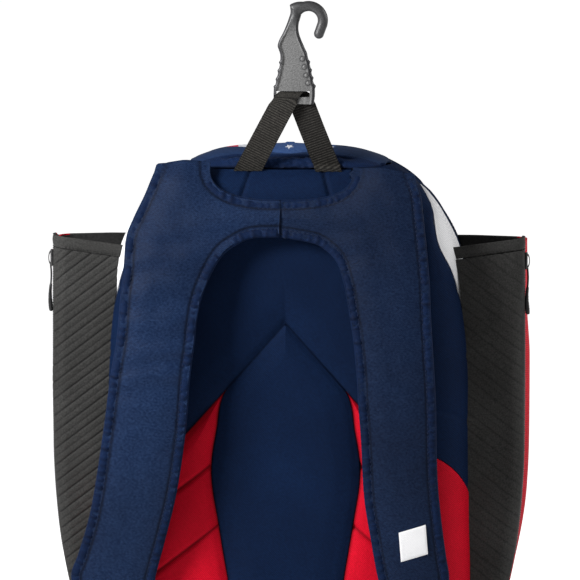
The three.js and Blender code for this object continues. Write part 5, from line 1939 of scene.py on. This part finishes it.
def webbing_weave(along, across_width):
    """Ribs across the strip, each broken up by the threads that run along it: from 0 to 1."""
    phase = along * 2 * math.pi / RIB_PITCH
    rib = 0.5 + 0.5 * math.sin(phase)
    odd = math.pi if math.floor(along / RIB_PITCH) % 2 else 0
    thread = 0.5 + 0.5 * math.sin(across_width * 2 * math.pi / 0.0016 + odd)
    return rib * (0.72 + 0.28 * thread)


def leg_coordinates(across, up):
    """Where a point of the hook webbing lies on the unfolded strip and along its own leg."""
    wrap = FOLD_RADIUS * math.pi / 2
    v = mix(-1, 1, up) * (wrap + BAR_TOP - LEG_END)
    edge = across * 2 - 1
    spread = FRONT_LEG_SPREAD if v < 0 else REAR_LEG_SPREAD
    past = max(0, abs(v) - wrap)
    turned = spread * min(past / BAR_HEIGHT, 1)
    middle = min(max(v / wrap, -1), 1) * FOLD_SHIFT + math.copysign(past * math.tan(spread), v)
    u = middle + edge * WEBBING_WIDTH / 2 / math.cos(turned)
    along = math.copysign(past / math.cos(turned), v) + edge * WEBBING_WIDTH / 2 * math.tan(turned)
    return v, u, edge, along


def place_webbing(across, up):
    v, u, edge, along = leg_coordinates(across, up)
    angle = min(max(v / FOLD_RADIUS, -math.pi / 2), math.pi / 2)
    straight = v - angle * FOLD_RADIUS
    radius = FOLD_RADIUS + WEBBING_THICKNESS / 2 - 0.0003
    z = BAR_TOP + (radius + 0.0011) * math.cos(angle) - abs(straight)
    below_bar = max(0, abs(straight) - BAR_HEIGHT * 1.3)
    lean = BODY_DEPTH * 0.13 * (below_bar / (BAR_TOP - TOP_SEAM + 0.006)) ** 1.5
    point = Vector((SLOT_CENTER + u, radius * math.sin(angle) + lean, z))
    if z < TOP_SEAM + 0.012:
        front = back_depth(abs(point.x - BODY_OFFSET), max(z, TOP_SEAM)) - 0.0016
        point.y = mix(point.y, min(point.y, front), fade(-z, -TOP_SEAM - 0.012, -TOP_SEAM))
    return point


def webbing_relief(across, up, point):
    v, u, edge, along = leg_coordinates(across, up)
    return RIB_RELIEF * (webbing_weave(along, edge * WEBBING_WIDTH / 2) - 0.8)


# Painted shade in the grooves between the ribs, and darker selvedges.
def webbing_painted_shade(across, up, point):
    v, u, edge, along = leg_coordinates(across, up)
    selvedge = 0.4 * fade(abs(edge), 0.93, 1.0)
    return min(0.9 - 1.15 * webbing_weave(along, edge * WEBBING_WIDTH / 2) + selvedge, 1)


hook_strip = lay_grid("hook_strip", 60, 520, place_webbing, webbing_relief, (WEBBING_WIDTH, 0.185),
                      webbing_painted_shade)
apply_modifier(hook_strip, "SOLIDIFY", thickness=WEBBING_THICKNESS - 0.0004, offset=-1)
dress(hook_strip, webbing_cloth, "webbing", "hook_webbing")

# %% [markdown]
# ## Label, ladder locks and lower webbing
# The woven label is left bare. Below the pads a plain buckle and a short webbing lead down to the
# base seam.

# %% Label
LABEL_WIDTH = 0.027
LABEL_HEIGHT = 0.030
LABEL_CORNER = Vector(plan(1, (0.63, 0.83)))


def place_label(across, up):
    stand = halves["right"][1]
    start = LABEL_CORNER
    x = start.x + LABEL_WIDTH * across + LABEL_WIDTH * 0.08 * (1 - up)
    z = start.y + LABEL_WIDTH * 0.31 * across - LABEL_HEIGHT * (1 - up)
    return Vector((x, strap_back(z, stand) - STRAP_THICKNESS - 0.0014, z))


def label_relief(across, up, point):
    edge = min(min(across, 1 - across) * LABEL_WIDTH, min(up, 1 - up) * LABEL_HEIGHT)
    return seam_dip(edge, 0.0005, 0.0012)


label = lay_grid("bare_label", 54, 60, place_label, label_relief, (LABEL_WIDTH, LABEL_HEIGHT))
apply_modifier(label, "SOLIDIFY", thickness=0.0008, offset=-1)
dress(label, white_cloth, "white_cloth", "strap_label")

# %% [markdown]
# The ladder lock is a frame of five bars with rounded edges. The webbing comes up behind it, over the
# lower bar and down in front, so its grid follows a path through the slot.

# %% Ladder locks and lower webbing
LOCK_WIDTH = 0.034
LOCK_HEIGHT = 0.024
LOCK_THICKNESS = 0.005
LOCK_BAR = 0.004
TAIL_LENGTH = 0.014


def make_lower_end(side):
    sign, stand, _ = halves[side]
    row = OUTER_LEFT[-1] if sign < 0 else OUTER_RIGHT[-1]
    end = Vector(plan(sign, row))
    middle = -0.4 * stand - STRAP_THICKNESS / 2
    top = end.y - SEAM_GAP
    bottom = top - LOCK_HEIGHT
    bars = []
    slot_height = (LOCK_HEIGHT - 3 * LOCK_BAR) / 2
    boxes = [((end.x, top - LOCK_BAR / 2), (LOCK_WIDTH, LOCK_BAR)),
             ((end.x, top - LOCK_BAR * 1.5 - slot_height), (LOCK_WIDTH, LOCK_BAR)),
             ((end.x, bottom + LOCK_BAR / 2), (LOCK_WIDTH, LOCK_BAR)),
             ((end.x - LOCK_WIDTH / 2 + 0.002, (top + bottom) / 2), (0.004, LOCK_HEIGHT)),
             ((end.x + LOCK_WIDTH / 2 - 0.002, (top + bottom) / 2), (0.004, LOCK_HEIGHT))]
    for (x, z), (width, height) in boxes:
        bpy.ops.mesh.primitive_cube_add(size=1)
        bar = bpy.context.object
        for point in bar.data.vertices:
            point.co = Vector((x + point.co.x * width, middle + point.co.y * LOCK_THICKNESS,
                               z + point.co.z * height))
        apply_modifier(bar, "BEVEL", width=0.0012, segments=3)
        bars.append(bar)
    lock = join_pieces(*bars)
    lock.name = f"buckle_{side}"
    dress(lock, hook_rim, "hook_plastic", f"ladder_lock_{side}")

    slot_middle = bottom + LOCK_BAR + slot_height / 2
    thick = WEBBING_THICKNESS / 2
    front_y = middle - LOCK_THICKNESS / 2 - SEAM_GAP - thick
    rear_y = middle + LOCK_THICKNESS / 2 + SEAM_GAP + thick
    path = [(front_y, bottom - TAIL_LENGTH), (front_y, slot_middle - 0.002), (front_y + 0.001, slot_middle),
            (rear_y - 0.001, slot_middle), (rear_y, slot_middle - 0.002), (rear_y, bottom - LOCK_BAR),
            (BODY_DEPTH * 0.06 - 0.001, TRAY_TOP + 0.002)]
    corners = [Vector(point) for point in path]

    def place(across, up):
        lengths = [(b - a).length for a, b in zip(corners, corners[1:])]
        way = up * sum(lengths)
        index = 0
        while index < len(lengths) - 1 and way > lengths[index]:
            way -= lengths[index]
            index += 1
        spot = corners[index].lerp(corners[index + 1], way / lengths[index])
        x = end.x + (across - 0.5) * WEBBING_WIDTH
        return Vector((x, spot.x, spot.y))

    def relief(across, up, point):
        return RIB_RELIEF * (webbing_weave(up * 0.1, (across - 0.5) * WEBBING_WIDTH) - 0.5)

    # Painted shade in the grooves between the ribs.
    def dark(across, up, point):
        return 0.75 - 0.95 * webbing_weave(up * 0.1, (across - 0.5) * WEBBING_WIDTH)

    strip = lay_grid(f"lower_strip_{side}", 30, 200, place, relief, (WEBBING_WIDTH, 0.1), dark)
    apply_modifier(strip, "SOLIDIFY", thickness=WEBBING_THICKNESS - 0.0002, offset=0)
    dress(strip, webbing_cloth, "webbing", f"lower_webbing_{side}")


make_lower_end("left")
make_lower_end("right")

# %% [markdown]
# ## Studio
# A plain pale floor that runs far back, a white surround, a large soft key light from the upper
# left and a weak fill from the right. The key leaves the left strap's shadow on the back panel.

# %% Floor, surround and lights
bpy.ops.mesh.primitive_plane_add(size=60, location=(0, 20, BASE - 0.05))
floor = bpy.context.object
floor.name = "studio_floor"
floor_finish, floor_tree, floor_shader, floor_place = new_finish("studio_floor", 0.9)
floor_shader.inputs["Base Color"].default_value = (0.93, 0.93, 0.93, 1)
floor_shader.inputs["Emission Color"].default_value = (1, 1, 1, 1)
floor_split = floor_tree.nodes.new("ShaderNodeSeparateXYZ")
floor_tree.links.new(floor_place.outputs["Object"], floor_split.inputs["Vector"])
floor_glow = floor_tree.nodes.new("ShaderNodeMapRange")
floor_glow.inputs["From Min"].default_value = -19.6
floor_glow.inputs["From Max"].default_value = -19.0
floor_glow.inputs["To Max"].default_value = 0.85
floor_tree.links.new(floor_split.outputs["Y"], floor_glow.inputs["Value"])
floor_tree.links.new(floor_glow.outputs["Result"], floor_shader.inputs["Emission Strength"])
floor.data.materials.append(floor_finish)

world = bpy.context.scene.world or bpy.data.worlds.new("studio")
bpy.context.scene.world = world
world.use_nodes = True
surround = world.node_tree.nodes["Background"]
surround.inputs["Color"].default_value = (1, 1, 1, 1)
surround.inputs["Strength"].default_value = 0.2


def soft_light(name, place, size, power):
    bpy.ops.object.light_add(type="AREA", location=place)
    light = bpy.context.object
    light.name = name
    light.data.size = size
    light.data.energy = power
    aim = Vector((-0.02, 0.05, -0.38)) - Vector(place)
    light.rotation_euler = aim.to_track_quat("-Z", "Y").to_euler()
    return light


soft_light("key_light", (-0.95, -0.8, 0.35), 0.5, 28)
soft_light("side_light", (1.6, 0.1, 0.5), 0.8, 14)
bpy.context.scene.view_settings.view_transform = "Standard"
print("Lights are set")
